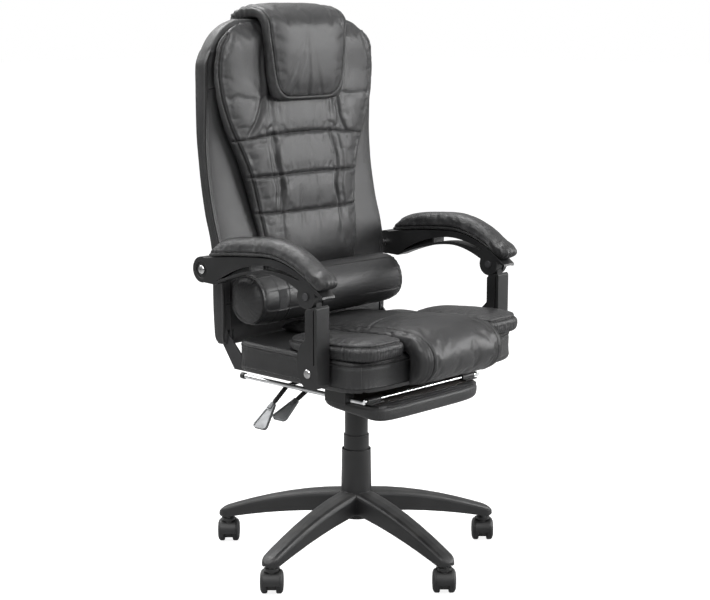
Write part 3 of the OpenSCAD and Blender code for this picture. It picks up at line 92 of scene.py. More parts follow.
def math_node(tree, operation, *sources):
    made = node(tree, "Math", operation=operation)
    for i, source in enumerate(sources):
        if isinstance(source, (int, float)):
            made.inputs[i].default_value = source
        else:
            tree.links.new(source, made.inputs[i])
    return made.outputs[0]


def map_range(tree, source, low, high, to_low=0.0, to_high=1.0, kind="SMOOTHSTEP"):
    made = node(tree, "MapRange", {"Value": source}, interpolation_type=kind)
    for key, value in zip(("From Min", "From Max", "To Min", "To Max"), (low, high, to_low, to_high)):
        made.inputs[key].default_value = value
    return made.outputs["Result"]


def mix_colour(tree, share, a, b):
    made = node(tree, "Mix", {0: share}, data_type="RGBA")
    for key, value in ((6, a), (7, b)):
        if isinstance(value, tuple):
            made.inputs[key].default_value = (*value, 1)
        else:
            tree.links.new(value, made.inputs[key])
    return made.outputs[2]


def object_space(tree):
    return node(tree, "TexCoord").outputs["Object"]


def noise(tree, place, scale, detail):
    return node(tree, "TexNoise", {"Vector": place}, Scale=scale, Detail=detail).outputs["Fac"]


def bump(tree, height, strength, distance, normal=None):
    links = {"Height": height} if normal is None else {"Height": height, "Normal": normal}
    return node(tree, "Bump", links, Strength=strength, Distance=distance).outputs["Normal"]


def new_group(name, inputs, outputs):
    tree = bpy.data.node_groups.new(name, "ShaderNodeTree")
    for label, value in inputs:
        socket = tree.interface.new_socket(label, in_out="INPUT", socket_type="NodeSocketFloat")
        socket.default_value = value
    for label, kind in outputs:
        tree.interface.new_socket(label, in_out="OUTPUT", socket_type="NodeSocket" + kind)
    return tree, tree.nodes.new("NodeGroupInput").outputs, tree.nodes.new("NodeGroupOutput").inputs


def use_group(tree, group, **values):
    made = tree.nodes.new("ShaderNodeGroup")
    made.node_tree = group
    for key, value in values.items():
        made.inputs[key.replace("_", " ")].default_value = value
    return made.outputs


def new_material(name):
    material = bpy.data.materials.new(name)
    material.use_nodes = True
    return material, material.node_tree, material.node_tree.nodes["Principled BSDF"]


def feed(tree, shader, colour, rough, normal):
    for key, source in (("Base Color", colour), ("Roughness", rough), ("Normal", normal)):
        tree.links.new(source, shader.inputs[key])


print("node helpers ready")

# %% [markdown]
# Black upholstery is shown by what it reflects. The camera sees a white room, and polished
# metal sees it too, bright overhead and dimmer towards the horizon, as in a studio where
# the light hangs high. Five wide lamps add the direction: one from the upper left, one
# from the front, one that lays a sheen on faces turned to the front, one from behind and
# one high up that shows on whatever faces the ceiling. A photographed room would give
# reflections too, but it is a file to be read, and its light is harder to steer.

# %% Soft studio light
scene.view_settings.view_transform = "Standard"


def lamp(name, place, target, power, size):
    data = bpy.data.lights.new(name, "AREA")
    data.energy, data.shape, data.size = power, "DISK", size
    obj = placed(name, data)
    obj.location = place
    aim(obj, Vector(target) - Vector(place))
    return obj


lamps = [
    lamp("key", (-3.2, -0.6, 2.9), (0, 0, 0.6), 75, 2.2),
    lamp("front", (-0.4, -3.4, 2.4), (0, 0, 0.9), 45, 2.2),
    lamp("sheen", (2.7, -2.5, 1.7), (0, 0, 1.0), 120, 1.9),
    lamp("rim", (-1.2, 2.9, 2.5), (0, 0, 0.8), 38, 1.8),
    lamp("overhead", (0.0, 1.1, 3.0), (0, 0, 0.6), 85, 1.6),
]

AMBIENT, HORIZON = 0.29, 0.16
world = scene.world = bpy.data.worlds.new("white_room")
world.use_nodes = True
tree = world.node_tree
sky, rays = tree.nodes["Background"], node(tree, "LightPath").outputs
sky.inputs["Color"].default_value = (1, 1, 1, 1)
upwards = node(tree, "SeparateXYZ", {"Vector": node(tree, "TexCoord").outputs["Generated"]}).outputs["Z"]
overhead = map_range(tree, upwards, 0.0, 0.7, HORIZON, 1.0, kind="LINEAR")
mirrored_room = math_node(tree, "MULTIPLY", rays["Is Glossy Ray"], overhead)
seen_room = math_node(tree, "MAXIMUM", rays["Is Camera Ray"], rays["Is Transmission Ray"])
strength = math_node(tree, "MAXIMUM", math_node(tree, "MAXIMUM", seen_room, mirrored_room), AMBIENT)
tree.links.new(strength, sky.inputs["Strength"])

mesh = bpy.data.meshes.new("floor")
mesh.from_pydata([(-30, -30, 0), (30, -30, 0), (30, 30, 0), (-30, 30, 0)], [], [(0, 1, 2, 3)])
floor = placed("floor", mesh)
print(len(lamps), "lamps and a floor")

# %% [markdown]
# The grain of coated leather is a net of fine cells with soft pits, broken by larger
# creases. Voronoi cells give the net and noise bends them, so that no two look alike. It
# is too fine for the mesh, so it is a height for a Bump node, in one group that every
# leather uses with its own cell size.

# %% Leather grain group
grain, g_in, g_out = new_group(
    "leather grain",
    [("Cell size", 0.0016), ("Crease", 0.4)],
    [("Height", "Float"), ("Pits", "Float"), ("Patches", "Float")],
)
place = object_space(grain)
per_metre = math_node(grain, "DIVIDE", 1.0, g_in["Cell size"])
bend = node(grain, "TexNoise", {"Vector": place}, Scale=260.0, Detail=2.0)
shift = node(grain, "VectorMath", {0: bend.outputs["Color"]}, operation="SCALE")
shift.inputs["Scale"].default_value = 0.0016
bent = node(grain, "VectorMath", {0: place, 1: shift.outputs["Vector"]}, operation="ADD").outputs["Vector"]
cells = node(grain, "TexVoronoi", {"Vector": bent, "Scale": per_metre}, feature="DISTANCE_TO_EDGE")
pits = map_range(grain, cells.outputs["Distance"], 0.0, 0.22)
fine = noise(grain, place, 2600.0, 3.0)
folds = node(grain, "TexVoronoi", {"Vector": bent}, feature="DISTANCE_TO_EDGE", Scale=75.0)
creases = map_range(grain, folds.outputs["Distance"], 0.0, 0.09)
patch = noise(grain, place, 9.0, 4.0)
where = math_node(grain, "MULTIPLY", map_range(grain, patch, 0.45, 0.7), g_in["Crease"])
sunk = math_node(grain, "MULTIPLY", math_node(grain, "SUBTRACT", 1.0, creases), where)
rough = math_node(grain, "MULTIPLY_ADD", fine, 0.25, pits)
grain.links.new(math_node(grain, "SUBTRACT", rough, sunk), g_out["Height"])
grain.links.new(pits, g_out["Pits"])
grain.links.new(patch, g_out["Patches"])
print("group", grain.name, len(grain.nodes), "nodes")

# %% [markdown]
# Seams are too fine for the mesh, so each vertex carries three numbers: its distance from
# the seam, how far along the seam it is, and the kind of seam. The group below draws the
# crease, and for a kind of 2 a row of stitches on both sides of it. The leathers also use
# the crease mask as painted shade, darkening their colour in the groove.

# %% Seam group
seams, s_in, s_out = new_group(
    "sewn seam",
    [("Stitch length", 0.0042), ("Row distance", 0.0030)],
    [("Height", "Float"), ("Crease", "Float"), ("Thread", "Float")],
)
sewn = node(seams, "Attribute", attribute_name="seam")
off, run, kind = node(seams, "SeparateXYZ", {"Vector": sewn.outputs["Vector"]}).outputs
away = math_node(seams, "ABSOLUTE", off)
near = map_range(seams, kind, 0.5, 0.9)
# The crease mask is also painted shade: the leathers darken their colour with it.
crease = math_node(seams, "MULTIPLY", map_range(seams, away, 0.0003, 0.0016, 1.0, 0.0), near)
row = math_node(seams, "ABSOLUTE", math_node(seams, "SUBTRACT", away, s_in["Row distance"]))
line = map_range(seams, row, 0.0003, 0.0008, 1.0, 0.0)
beat = math_node(seams, "FRACT", math_node(seams, "DIVIDE", run, s_in["Stitch length"]))
off_beat = math_node(seams, "ABSOLUTE", math_node(seams, "SUBTRACT", beat, 0.5))
stitch = map_range(seams, off_beat, 0.34, 0.42, 1.0, 0.0)
pull = math_node(seams, "MULTIPLY", line, map_range(seams, kind, 1.5, 1.9))
thread = math_node(seams, "MULTIPLY", pull, stitch)
lift = math_node(seams, "MULTIPLY_ADD", thread, 1.6, math_node(seams, "MULTIPLY", crease, -2.6))
seams.links.new(math_node(seams, "MULTIPLY_ADD", pull, -0.9, lift), s_out["Height"])
seams.links.new(crease, s_out["Crease"])
seams.links.new(thread, s_out["Thread"])
print("group", seams.name, len(seams.nodes), "nodes")

# %% [markdown]
# Hard parts show their edges: moulding and coating get thin and bright there, and dust
# settles on what faces up. The Bevel node looks at the surface a little further round, so
# its normal differs from the flat one near an edge, and that difference is the mask.

# %% Edge wear and dust groups
wear, w_in, w_out = new_group(
    "edge wear", [("Radius", 0.0012), ("Breakup", 90.0)], [("Mask", "Float"), ("Normal", "Vector")]
)
rounded = node(wear, "Bevel", {"Radius": w_in["Radius"]}, samples=6)
flat = node(wear, "NewGeometry").outputs["Normal"]
turned = node(wear, "VectorMath", {0: rounded.outputs["Normal"], 1: flat}, operation="DOT_PRODUCT")
edge = map_range(wear, turned.outputs["Value"], 0.995, 0.86)
spots = node(wear, "TexNoise", {"Vector": object_space(wear), "Scale": w_in["Breakup"]}, Detail=4.0)
broken = map_range(wear, spots.outputs["Fac"], 0.38, 0.62)
wear.links.new(math_node(wear, "MULTIPLY", edge, broken), w_out["Mask"])
wear.links.new(rounded.outputs["Normal"], w_out["Normal"])

dust, d_in, d_out = new_group("settled dust", [("Amount", 0.2)], [("Mask", "Float")])
up = node(dust, "SeparateXYZ", {"Vector": node(dust, "NewGeometry").outputs["Normal"]}).outputs["Z"]
cloud = noise(dust, object_space(dust), 23.0, 6.0)
lying = math_node(dust, "MULTIPLY", map_range(dust, up, 0.2, 0.95), map_range(dust, cloud, 0.35, 0.7))
dust.links.new(math_node(dust, "MULTIPLY", lying, d_in["Amount"]), d_out["Mask"])
print("groups", wear.name, "and", dust.name)

# %% [markdown]
# The covers are black coated leather: nearly black, with a satin face that is a little
# duller in the pits and on the creases. It takes its light from reflections, so the
# roughness and the grain matter more than the colour.

# %% Leather material
# The stitch colour is lighter than the thread itself, as a painted highlight on the stitches.
BLACK_HIDE, WORN_HIDE, THREAD_AND_HIGHLIGHT = (0.0135, 0.0136, 0.0142), (0.023, 0.023, 0.0237), (0.04, 0.04, 0.041)


def shade(colour, factor):
    return tuple(c * factor for c in colour)


def leather(name, cell=0.0016, crease=0.4, rough=0.31, tone=1.0):
    material, tree, shader = new_material(name)
    skin = use_group(tree, grain, Cell_size=cell, Crease=crease)
    sewing = use_group(tree, seams)
    worn = map_range(tree, skin["Patches"], 0.3, 0.75)
    base = mix_colour(tree, worn, shade(BLACK_HIDE, tone), shade(WORN_HIDE, tone))
    # Painted shade: the colour goes near black in the groove of each seam.
    base = mix_colour(tree, sewing["Crease"], base, (0.004, 0.004, 0.004))
    # The stitches are painted grey, partly the thread's colour and partly a painted highlight along them.
    base = mix_colour(tree, sewing["Thread"], base, THREAD_AND_HIGHLIGHT)
    base = mix_colour(tree, use_group(tree, dust, Amount=0.05)["Mask"], base, (0.12, 0.115, 0.11))
    dull = map_range(tree, skin["Pits"], 0.0, 1.0, rough + 0.12, rough)
    spread = map_range(tree, skin["Patches"], 0.3, 0.7, -0.02, 0.04)
    grained = bump(tree, skin["Height"], 0.55, 0.0002)
    sewn = bump(tree, sewing["Height"], 0.9, 0.0006, grained)
    feed(tree, shader, base, math_node(tree, "ADD", dull, spread), sewn)
    return material


cover_leather = leather("black_leather", crease=0.2)
pillow_leather = leather("pillow_leather", cell=0.0019, crease=0.35, rough=0.33)
shell_leather = leather("shell_leather", cell=0.0014, crease=0.3, rough=0.34, tone=1.1)
pad_leather = leather("arm_leather", cell=0.0012, crease=0.25, rough=0.27)
print("four leathers")

# %% [markdown]
# The base, hoods, arms and covers are injection-moulded nylon. The tool leaves a fine
# spark-eroded texture, so the face is matt and even, with edges rubbed a little greyer.
# One function makes all of them, because they differ only in tone, gloss and texture.

# %% Moulded nylon
def moulded(name, colour, rough, texture=0.0007, wear_tone=0.045, dusty=0.1):
    material, tree, shader = new_material(name)
    place = object_space(tree)
    edges = use_group(tree, wear, Radius=0.0012)
    tint = noise(tree, place, 14.0, 5.0)
    base = mix_colour(tree, map_range(tree, tint, 0.3, 0.7), colour, shade(colour, 1.35))
    base = mix_colour(tree, edges["Mask"], base, (wear_tone,) * 3)
    base = mix_colour(tree, use_group(tree, dust, Amount=dusty)["Mask"], base, (0.16, 0.155, 0.145))
    blotch = map_range(tree, tint, 0.3, 0.7, rough - 0.05, rough + 0.07)
    dull = math_node(tree, "MULTIPLY_ADD", edges["Mask"], -0.12, blotch)
    pocks = node(tree, "TexVoronoi", {"Vector": place}, Scale=1.0 / texture).outputs["Distance"]
    height = math_node(tree, "ADD", pocks, noise(tree, place, 0.6 / texture, 3.0))
    feed(tree, shader, base, dull, bump(tree, height, 0.28, 0.00012, edges["Normal"]))
    return material


base_nylon = moulded("base_nylon", (0.0105, 0.0106, 0.011), 0.46, texture=0.0009)
hood_nylon = moulded("caster_nylon", (0.0115, 0.0116, 0.012), 0.38, texture=0.0006)
arm_nylon = moulded("arm_nylon", (0.0105, 0.0106, 0.011), 0.4, texture=0.0008, dusty=0.05)
cover_nylon = moulded("cover_plastic", (0.0135, 0.0136, 0.014), 0.38, texture=0.0005, dusty=0.05)
wheel_nylon = moulded(
    "wheel_nylon", (0.012, 0.0121, 0.013), 0.5, texture=0.0005, wear_tone=0.035, dusty=0.15
)
sleeve_rubber = moulded("sleeve_rubber", (0.01, 0.01, 0.0105), 0.6, texture=0.0004, dusty=0.05)
bush_plastic = moulded("bush_plastic", (0.02, 0.02, 0.02), 0.45, texture=0.0006)
pin_plastic = moulded("pin_plastic", (0.03, 0.03, 0.032), 0.34, texture=0.0005, dusty=0.05)
print("moulded finishes", base_nylon.name, arm_nylon.name, cover_nylon.name)

# %% [markdown]
# The rails and bolts are bright metal. Handling leaves a little haze and fine flecks on it,
# which is what tells chrome from a mirror, so it is the roughness that varies here and
# the colour hardly does. The tubes, the mechanism and the plates are steel with a baked
# black powder coat, whose surface is slightly bumpy like orange peel.

# %% Metals
def bright_metal(name, colour, rough, haze=0.12, fine=700.0):
    material, tree, shader = new_material(name)
    place = object_space(tree)
    smears = noise(tree, place, 38.0, 6.0)
    tone = mix_colour(tree, map_range(tree, smears, 0.35, 0.75), colour, shade(colour, 0.72))
    dull = map_range(tree, smears, 0.35, 0.8, rough, rough + haze)
    edge_normal = use_group(tree, wear, Radius=0.0006)["Normal"]
    feed(tree, shader, tone, dull, bump(tree, noise(tree, place, fine, 2.0), 0.12, 0.00005, edge_normal))
    shader.inputs["Metallic"].default_value = 1.0
    return material


def powder_coat(name, colour, rough=0.42):
    material, tree, shader = new_material(name)
    place = object_space(tree)
    edges = use_group(tree, wear, Radius=0.0008, Breakup=160.0)
    cloud = noise(tree, place, 20.0, 5.0)
    base = mix_colour(tree, map_range(tree, cloud, 0.3, 0.7), colour, shade(colour, 1.5))
    base = mix_colour(tree, math_node(tree, "MULTIPLY", edges["Mask"], 0.6), base, (0.18, 0.17, 0.16))
    dull = map_range(tree, cloud, 0.3, 0.7, rough - 0.05, rough + 0.06)
    peel = bump(tree, noise(tree, place, 520.0, 1.0), 0.35, 0.0002, edges["Normal"])
    feed(tree, shader, base, dull, peel)
    return material


chrome = bright_metal("rail_chrome", (0.78, 0.79, 0.8), 0.09)
bolt_steel = bright_metal("bolt_steel", (0.6, 0.6, 0.6), 0.22)
paddle_silver = bright_metal("paddle_silver", (0.24, 0.245, 0.25), 0.42, haze=0.08, fine=2200.0)
black_steel = powder_coat("black_steel", (0.016, 0.016, 0.017))
print("metals ready")

# %% [markdown]
# The two boards are plywood with a dark colour. The grain is noise that
# is stretched along the board, and the edge shows the plies as bands of the height. The
# band round the lumbar roll is woven elastic. Its threads are sine waves along and across
# it, because a weave is too regular for noise.

# %% Plywood and woven elastic
ply, tree, shader = new_material("plywood")
place = object_space(tree)
stretched = node(tree, "Mapping", {"Vector": place}, Scale=(18.0, 260.0, 260.0), vector_type="POINT")
fibre = noise(tree, stretched.outputs["Vector"], 1.0, 6.0)
height_z = node(tree, "SeparateXYZ", {"Vector": place}).outputs["Z"]
plies = math_node(tree, "SINE", math_node(tree, "MULTIPLY", height_z, 2 * math.pi / 0.0032))
facing = node(tree, "SeparateXYZ", {"Vector": node(tree, "NewGeometry").outputs["Normal"]}).outputs["Z"]
on_edge = map_range(tree, math_node(tree, "ABSOLUTE", facing), 0.3, 0.7, 1.0, 0.0)
band = math_node(tree, "MULTIPLY", map_range(tree, plies, -0.4, 0.4), on_edge)
wood = mix_colour(tree, map_range(tree, fibre, 0.3, 0.75), (0.021, 0.017, 0.014), (0.044, 0.035, 0.028))
wood = mix_colour(tree, band, wood, (0.012, 0.010, 0.008))
feed(tree, shader, wood, map_range(tree, fibre, 0.3, 0.8, 0.55, 0.75), bump(tree, fibre, 0.4, 0.0003))

elastic, tree, shader = new_material("woven_elastic")
across, out, up = node(tree, "SeparateXYZ", {"Vector": object_space(tree)}).outputs


def waves(source, length):
    return math_node(tree, "SINE", math_node(tree, "MULTIPLY", source, 2 * math.pi / length))


picks = [waves(math_node(tree, *sides), 0.0022) for sides in (("ADD", out, up), ("SUBTRACT", up, out))]
weave = math_node(tree, "MULTIPLY", waves(across, 0.0024), math_node(tree, "ADD", *picks))
base = mix_colour(tree, map_range(tree, weave, -1.2, 1.2), (0.008, 0.008, 0.0085), (0.045, 0.045, 0.047))
feed(tree, shader, base, map_range(tree, weave, -1.0, 1.0, 0.85, 0.65), bump(tree, weave, 0.7, 0.0003))
print("plywood and elastic ready")

# %% [markdown]
# The floor is pale and plain. Where the camera sees it directly it glows nearly as white
# as the world behind it, so that no horizon shows, and it still darkens under the chair.
# A whiter floor would do the same, but it would throw its light up onto the chair.

# %% Floor
material, tree, shader = new_material("pale_floor")
speckle = mix_colour(tree, noise(tree, object_space(tree), 2.0, 3.0), (0.4,) * 3, (0.44,) * 3)
tree.links.new(speckle, shader.inputs["Base Color"])
shader.inputs["Roughness"].default_value = 0.7
shader.inputs["Specular IOR Level"].default_value = 0.2
seen = node(tree, "LightPath").outputs["Is Camera Ray"]
shader.inputs["Emission Color"].default_value = (1.0, 1.0, 1.0, 1.0)
tree.links.new(math_node(tree, "MULTIPLY", seen, 0.86), shader.inputs["Emission Strength"])
floor.data.materials.append(material)
print("floor finished with", material.name)

# %% [markdown]
# Hard parts are exactly as drawn, so these CAD nodes keep their shapes and only get their
# finish here. The table is sorted by finish, which shows the parts that share one.

# %% Finishes on the CAD nodes
FINISHES = {
    base_nylon: ["star_base"],
    hood_nylon: [f"caster_hood_{i}" for i in range(1, 6)],
    wheel_nylon: [f"caster_wheels_{i}" for i in range(1, 6)],
    bolt_steel: [
        "caster_stems", "thrust_bearing", "arm_rear_bolts", "arm_low_bolts", "seat_pins", "piston_rod",
        *(f"caster_axle_{i}" for i in range(1, 6)),
    ],
    cover_nylon: ["lower_cover", "middle_cover", "upper_cover"],
    bush_plastic: ["guide_bush", "rail_caps"],
    black_steel: ["stand_tube", "pressure_tube", "mechanism", "hinge_plates", "back_frame", "foot_hinges"],
    ply: ["seat_board", "foot_board"],
    arm_nylon: [
        "rail_guides",
        *(f"arm_{part}_{side}" for part in ("frame", "upright") for side in ("left", "right")),
    ],
    pin_plastic: ["arm_pin_left", "arm_pin_right"],
    chrome: ["foot_rails", "cross_rod"],
    sleeve_rubber: ["lift_lever", "lock_lever"],
    paddle_silver: ["lift_paddle", "lock_paddle"],
}
for material, names in FINISHES.items():
    for name in names:
        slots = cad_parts[name].data.materials
        slots.clear()
        slots.append(material)
print(sum(len(n) for n in FINISHES.values()), "CAD nodes finished")

# %% [markdown]
# The upholstery starts from numbers: a few measured widths and depths, and a smooth curve
# through them. A monotone cubic never swings past its points, so a flat stays flat. Most
# pieces are then rings of points, joined into one closed skin. Sculpting a block would
# do as well, but rings can be set to a measured width at each height.

# %% Curves and rings
def curve(table, at):
    x, y = np.array(table, float).T
    step, slope = np.diff(x), np.diff(y) / np.diff(x)
    both = slope[:-1] * slope[1:]
    inner = np.where(both > 0, 2 * both / np.where(both > 0, slope[:-1] + slope[1:], 1), 0)
    tangent = np.concatenate([slope[:1], inner, slope[-1:]])
    at = np.clip(np.asarray(at, float), x[0], x[-1])
    k = np.clip(np.searchsorted(x, at, side="right") - 1, 0, len(step) - 1)
    t = (at - x[k]) / step[k]
    return (y[k] * (1 + 2 * t) * (1 - t) ** 2 + y[k + 1] * t * t * (3 - 2 * t)
            + step[k] * (tangent[k] * t * (1 - t) ** 2 + tangent[k + 1] * t * t * (t - 1)))


def signed_power(v, e):
    return np.sign(v) * np.abs(v) ** e


def superellipse(half_x, half_y, powers, count):
    t = 2 * np.pi * np.arange(count) / count
    power = np.array(powers)[(t // (np.pi / 2)).astype(int) % 4] if np.ndim(powers) else powers
    x, y = half_x * signed_power(np.cos(t), 2 / power), half_y * signed_power(np.sin(t), 2 / power)
    return np.stack([x, y], 1)


def even_line(points, count):
    points = np.array(points, float)
    run = np.concatenate([[0], np.cumsum(np.linalg.norm(np.diff(points, axis=0), axis=1))])
    keys, at = run / run[-1], np.linspace(0, 1, count)
    return np.stack([curve(np.stack([keys, column], 1), at) for column in points.T], 1)


def skin_object(name, rings):
    """Closed mesh through rings of equal length, with a fan at both ends."""
    rings = np.array(rings, float)
    m, n, _ = rings.shape
    points = np.concatenate([rings.reshape(-1, 3), rings[0].mean(0)[None], rings[-1].mean(0)[None]])
    i, j = np.meshgrid(np.arange(n), np.arange(m - 1))
    a, b = j * n + i, j * n + (i + 1) % n
    quads = np.stack([a, a + n, b + n, b], -1).reshape(-1, 4)
    k = np.arange(n)
    foot = np.stack([np.full(n, m * n), k, (k + 1) % n], 1)
    head = np.stack([np.full(n, m * n + 1), (m - 1) * n + (k + 1) % n, (m - 1) * n + k], 1)
    mesh = bpy.data.meshes.new(name)
    mesh.from_pydata(points.tolist(), [], quads.tolist() + foot.tolist() + head.tolist())
    mesh.update()
    return placed(name, mesh)


print("curve check", curve([(0, 0), (1, 1), (2, 1)], [0.5, 1.5]).round(3))

# %% [markdown]
# A stuffed cover is made as upholsterers see it: an even net of cloth over the filling.
# The voxel remesh gives the even net, and the cloth solver blows it up from inside while
# the seams and the sides that lie against something are held. The movement is capped, so
# that the piece keeps its place in the chair.

# %% Remesh, cloth and arrays
def apply_modifiers(obj):
    bpy.context.view_layer.update()
    made = bpy.data.meshes.new_from_object(obj.evaluated_get(bpy.context.evaluated_depsgraph_get()))
    obj.modifiers.clear()
    old, obj.data = obj.data, made
    name = old.name
    bpy.data.meshes.remove(old)
    made.name = name


def even_net(obj, size):
    net = obj.modifiers.new("net", "REMESH")
    net.mode, net.voxel_size = "VOXEL", size
    apply_modifiers(obj)
    smoothed = obj.modifiers.new("even", "SMOOTH")
    smoothed.factor, smoothed.iterations = 0.5, 4
    apply_modifiers(obj)
    print("  net of", len(obj.data.vertices), "points for", obj.name)


def points_of(obj):
    co = np.empty(len(obj.data.vertices) * 3, np.float32)
    obj.data.vertices.foreach_get("co", co)
    return co.reshape(-1, 3).astype(float)


def normals_of(obj):
    out = np.empty(len(obj.data.vertices) * 3, np.float32)
    obj.data.vertex_normals.foreach_get("vector", out)
    return out.reshape(-1, 3).astype(float)


def put_points(obj, co):
    obj.data.vertices.foreach_set("co", co.astype(np.float32).ravel())
    obj.data.update()


SLACK, FRAMES = -0.015, 18  # the cloth may grow by 1.5 percent, and 18 frames let it settle


def fill_out(obj, held, pressure, cap):
    """Cloth with pressure, held where the mask says, and capped."""
    rest = points_of(obj)
    pins = obj.vertex_groups.new(name="held")
    pins.add(np.flatnonzero(held).tolist(), 1.0, "REPLACE")
    cloth = obj.modifiers.new("cloth", "CLOTH")
    setup = cloth.settings
    setup.quality, setup.mass = 5, 0.25
    setup.tension_stiffness = setup.compression_stiffness = 12
    setup.shear_stiffness, setup.bending_stiffness = 6, 0.3
    setup.use_pressure, setup.uniform_pressure_force = True, pressure
    setup.effector_weights.gravity = 0
    setup.vertex_group_mass, setup.shrink_min = "held", SLACK
    cloth.point_cache.frame_start, cloth.point_cache.frame_end = 1, FRAMES
    for number in range(1, FRAMES + 1):
        scene.frame_set(number)
    apply_modifiers(obj)
    moved = points_of(obj) - rest
    far = np.linalg.norm(moved, axis=1, keepdims=True)
    limit = np.where(far > 1e-9, cap * np.tanh(far / cap) / np.maximum(far, 1e-9), 1)
    put_points(obj, rest + moved * limit)
    scene.frame_set(1)
    obj.vertex_groups.clear()
    print("  filled", obj.name, "moved up to", round(float((far * limit).max()) * 1000, 1), "mm")


def refine(obj):
    fine = obj.modifiers.new("fine", "SUBSURF")
    fine.levels = fine.render_levels = 1
    apply_modifiers(obj)


print("cloth tools ready")

# %% [markdown]
# Two fields shape the details. The first is a smooth value noise, for creases that are
# never the same twice. The second measures, for each point, how far it is from a seam and
# how far along it, which places grooves, gathers and the stitches of the material.

# %% Noise and seam fields
def soft_noise(p, size, seed=0):
    q = np.asarray(p, float) / np.asarray(size, float) + 31.7 * seed
    cell = np.floor(q).astype(np.int64)
    t = q - cell
    t = t * t * (3 - 2 * t)
    total = np.zeros(len(q))
    for corner in range(8):
        bits = [(corner >> k) & 1 for k in range(3)]
        c = cell + bits
        h = (c[:, 0] * 73856093) ^ (c[:, 1] * 19349663) ^ (c[:, 2] * 83492791) ^ (seed * 7919)
        h = (h ^ (h >> 13)) * 1274126177 & 0x7FFFFFFF
        h = (h ^ (h >> 15)) & 0xFFFF
        weight = np.prod([t[:, k] if bits[k] else 1 - t[:, k] for k in range(3)], axis=0)
        total += weight * (h / 32767.5 - 1)
    return total


def bump_at(distance, width):
    return np.exp(-(distance / width) ** 2)


def groove(off, deep, width, swell, beside, spread):
    """A seam pulls a groove, and the cloth beside it stands up."""
    return -deep * bump_at(off, width) + swell * bump_at(np.abs(off) - beside, spread)


class SeamMap:
    """Signed distance, run and kind of the nearest seam for each point."""

    REACH = 0.012

    def __init__(self, co):
        self.co, n = co, len(co)
        self.off, self.run, self.kind = np.full(n, 0.05), np.zeros(n), np.zeros(n)

    def add(self, line, drop, where=None, kind=1.0):
        """Distance from a line and run along it, both as seen along the axis that is dropped."""
        line, axis = np.array(line, float), np.eye(3)[drop]
        line[:, drop] = 0
        pick = np.arange(len(self.co)) if where is None else np.flatnonzero(where)
        p = self.co[pick]
        p[:, drop] = 0
        close = np.all((p > line.min(0) - 0.09) & (p < line.max(0) + 0.09), axis=1)
        pick, p = pick[close], p[close]
        best, run_at, side_at = np.full(len(p), 1e9), np.zeros(len(p)), np.ones(len(p))
        start = 0.0
        for a, b in zip(line[:-1], line[1:]):
            ab = b - a
            long = max(np.linalg.norm(ab), 1e-9)
            t = np.clip((p - a) @ ab / long**2, 0, 1)
            gap = p - (a + t[:, None] * ab)
            dist = np.linalg.norm(gap, axis=1)
            closer = dist < best
            side = np.sign(gap @ np.cross(ab / long, axis))
            best = np.where(closer, dist, best)
            run_at = np.where(closer, start + t * long, run_at)
            side_at = np.where(closer, np.where(side == 0, 1, side), side_at)
            start += long
        off, along = np.full(len(self.co), 0.5), np.zeros(len(self.co))
        off[pick], along[pick] = best * side_at, run_at
        self.put(off, along, True, kind)
        return off, along

    def put(self, off, along, where, kind=1.0):
        """A seam whose distance and run are already known."""
        nearer = where & (np.abs(off) < np.abs(self.off))
        self.off = np.where(nearer, off, self.off)
        self.run = np.where(nearer, along, self.run)
        self.kind = np.where(nearer, np.where(np.abs(off) < self.REACH, kind, 0), self.kind)

    def sew(self, obj, nrm, move):
        """Move the points along their normals and keep the seam numbers for the material."""
        put_points(obj, self.co + nrm * move[:, None])
        data = obj.data.attributes.new("seam", "FLOAT_VECTOR", "POINT").data
        data.foreach_set("vector", np.stack([self.off, self.run, self.kind], 1).astype(np.float32).ravel())


def on_line(along, up=0.0):
    """Places in the noise for points that are known by their run along a seam."""
    return np.stack([along, along * 0 + up, along * 0], 1)


def gathers(along, off, spacing, reach, seed):
    """Folds that leave a seam at right angles and die out with distance."""
    wander, deep, far = (
        soft_noise(on_line(along), size, seed + i) for i, size in enumerate((0.031, 0.017, 0.012))
    )
    fold = np.sin(2 * np.pi * along / spacing + wander * 1.9)
    length = reach * (0.75 + 0.45 * far)
    return fold * (0.55 + 0.45 * deep) * np.exp(-np.abs(off) / np.maximum(length, 1e-4))


def wrinkles(co, size, seed):
    """Ridged noise: narrow creases between broad soft swells."""
    return np.clip(1 - np.abs(soft_noise(co, size, seed)) * 2, -0.3, 1)


def upholster(obj, body, nodes, material):
    obj.data.polygons.foreach_set("use_smooth", [True] * len(obj.data.polygons))
    obj.data.materials.clear()
    obj.data.materials.append(material)
    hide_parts(*nodes)
    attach(obj, body)
    size = points_of(obj)
    print(obj.name, len(size), "points,", (size.max(0) - size.min(0)).round(3))


print("noise check", soft_noise([[0.1, 0.2, 0.3], [0.4, 0.5, 0.6]], 0.05, 3).round(3))

# %% [markdown]
# ## The back shell
# The shell is foam over a bent board, wrapped in one cover: a flat front wing on both
# sides of the quilted panel, a straight side wall and a slightly crowned rear. It is
# lofted from level sections, because its width, depth and lean all change with height.

# %% Lines of the back
FOOT_Z, BACK_H, BACK_HALF, BACK_T = 0.486, 0.670, 0.247, 0.043
LEAN = [
    (0, 0), (0.12, 0.06), (0.26, 0.09), (0.32, 0.22), (0.41, 0.58), (0.54, 0.9), (0.66, 1.03),
    (0.82, 1.03), (0.92, 0.92), (1, 0.8),
]
WIDTH = [(0, 0.985), (0.03, 1), (0.86, 1), (0.9, 0.965), (0.95, 0.885), (0.985, 0.77), (1, 0.66)]
DEPTH = [
    (0, 0.8), (0.02, 1), (0.12, 1.1), (0.41, 0.93), (0.55, 0.93), (0.8, 1.14), (0.93, 1.1), (0.98, 0.8),
    (1, 0.4),
]


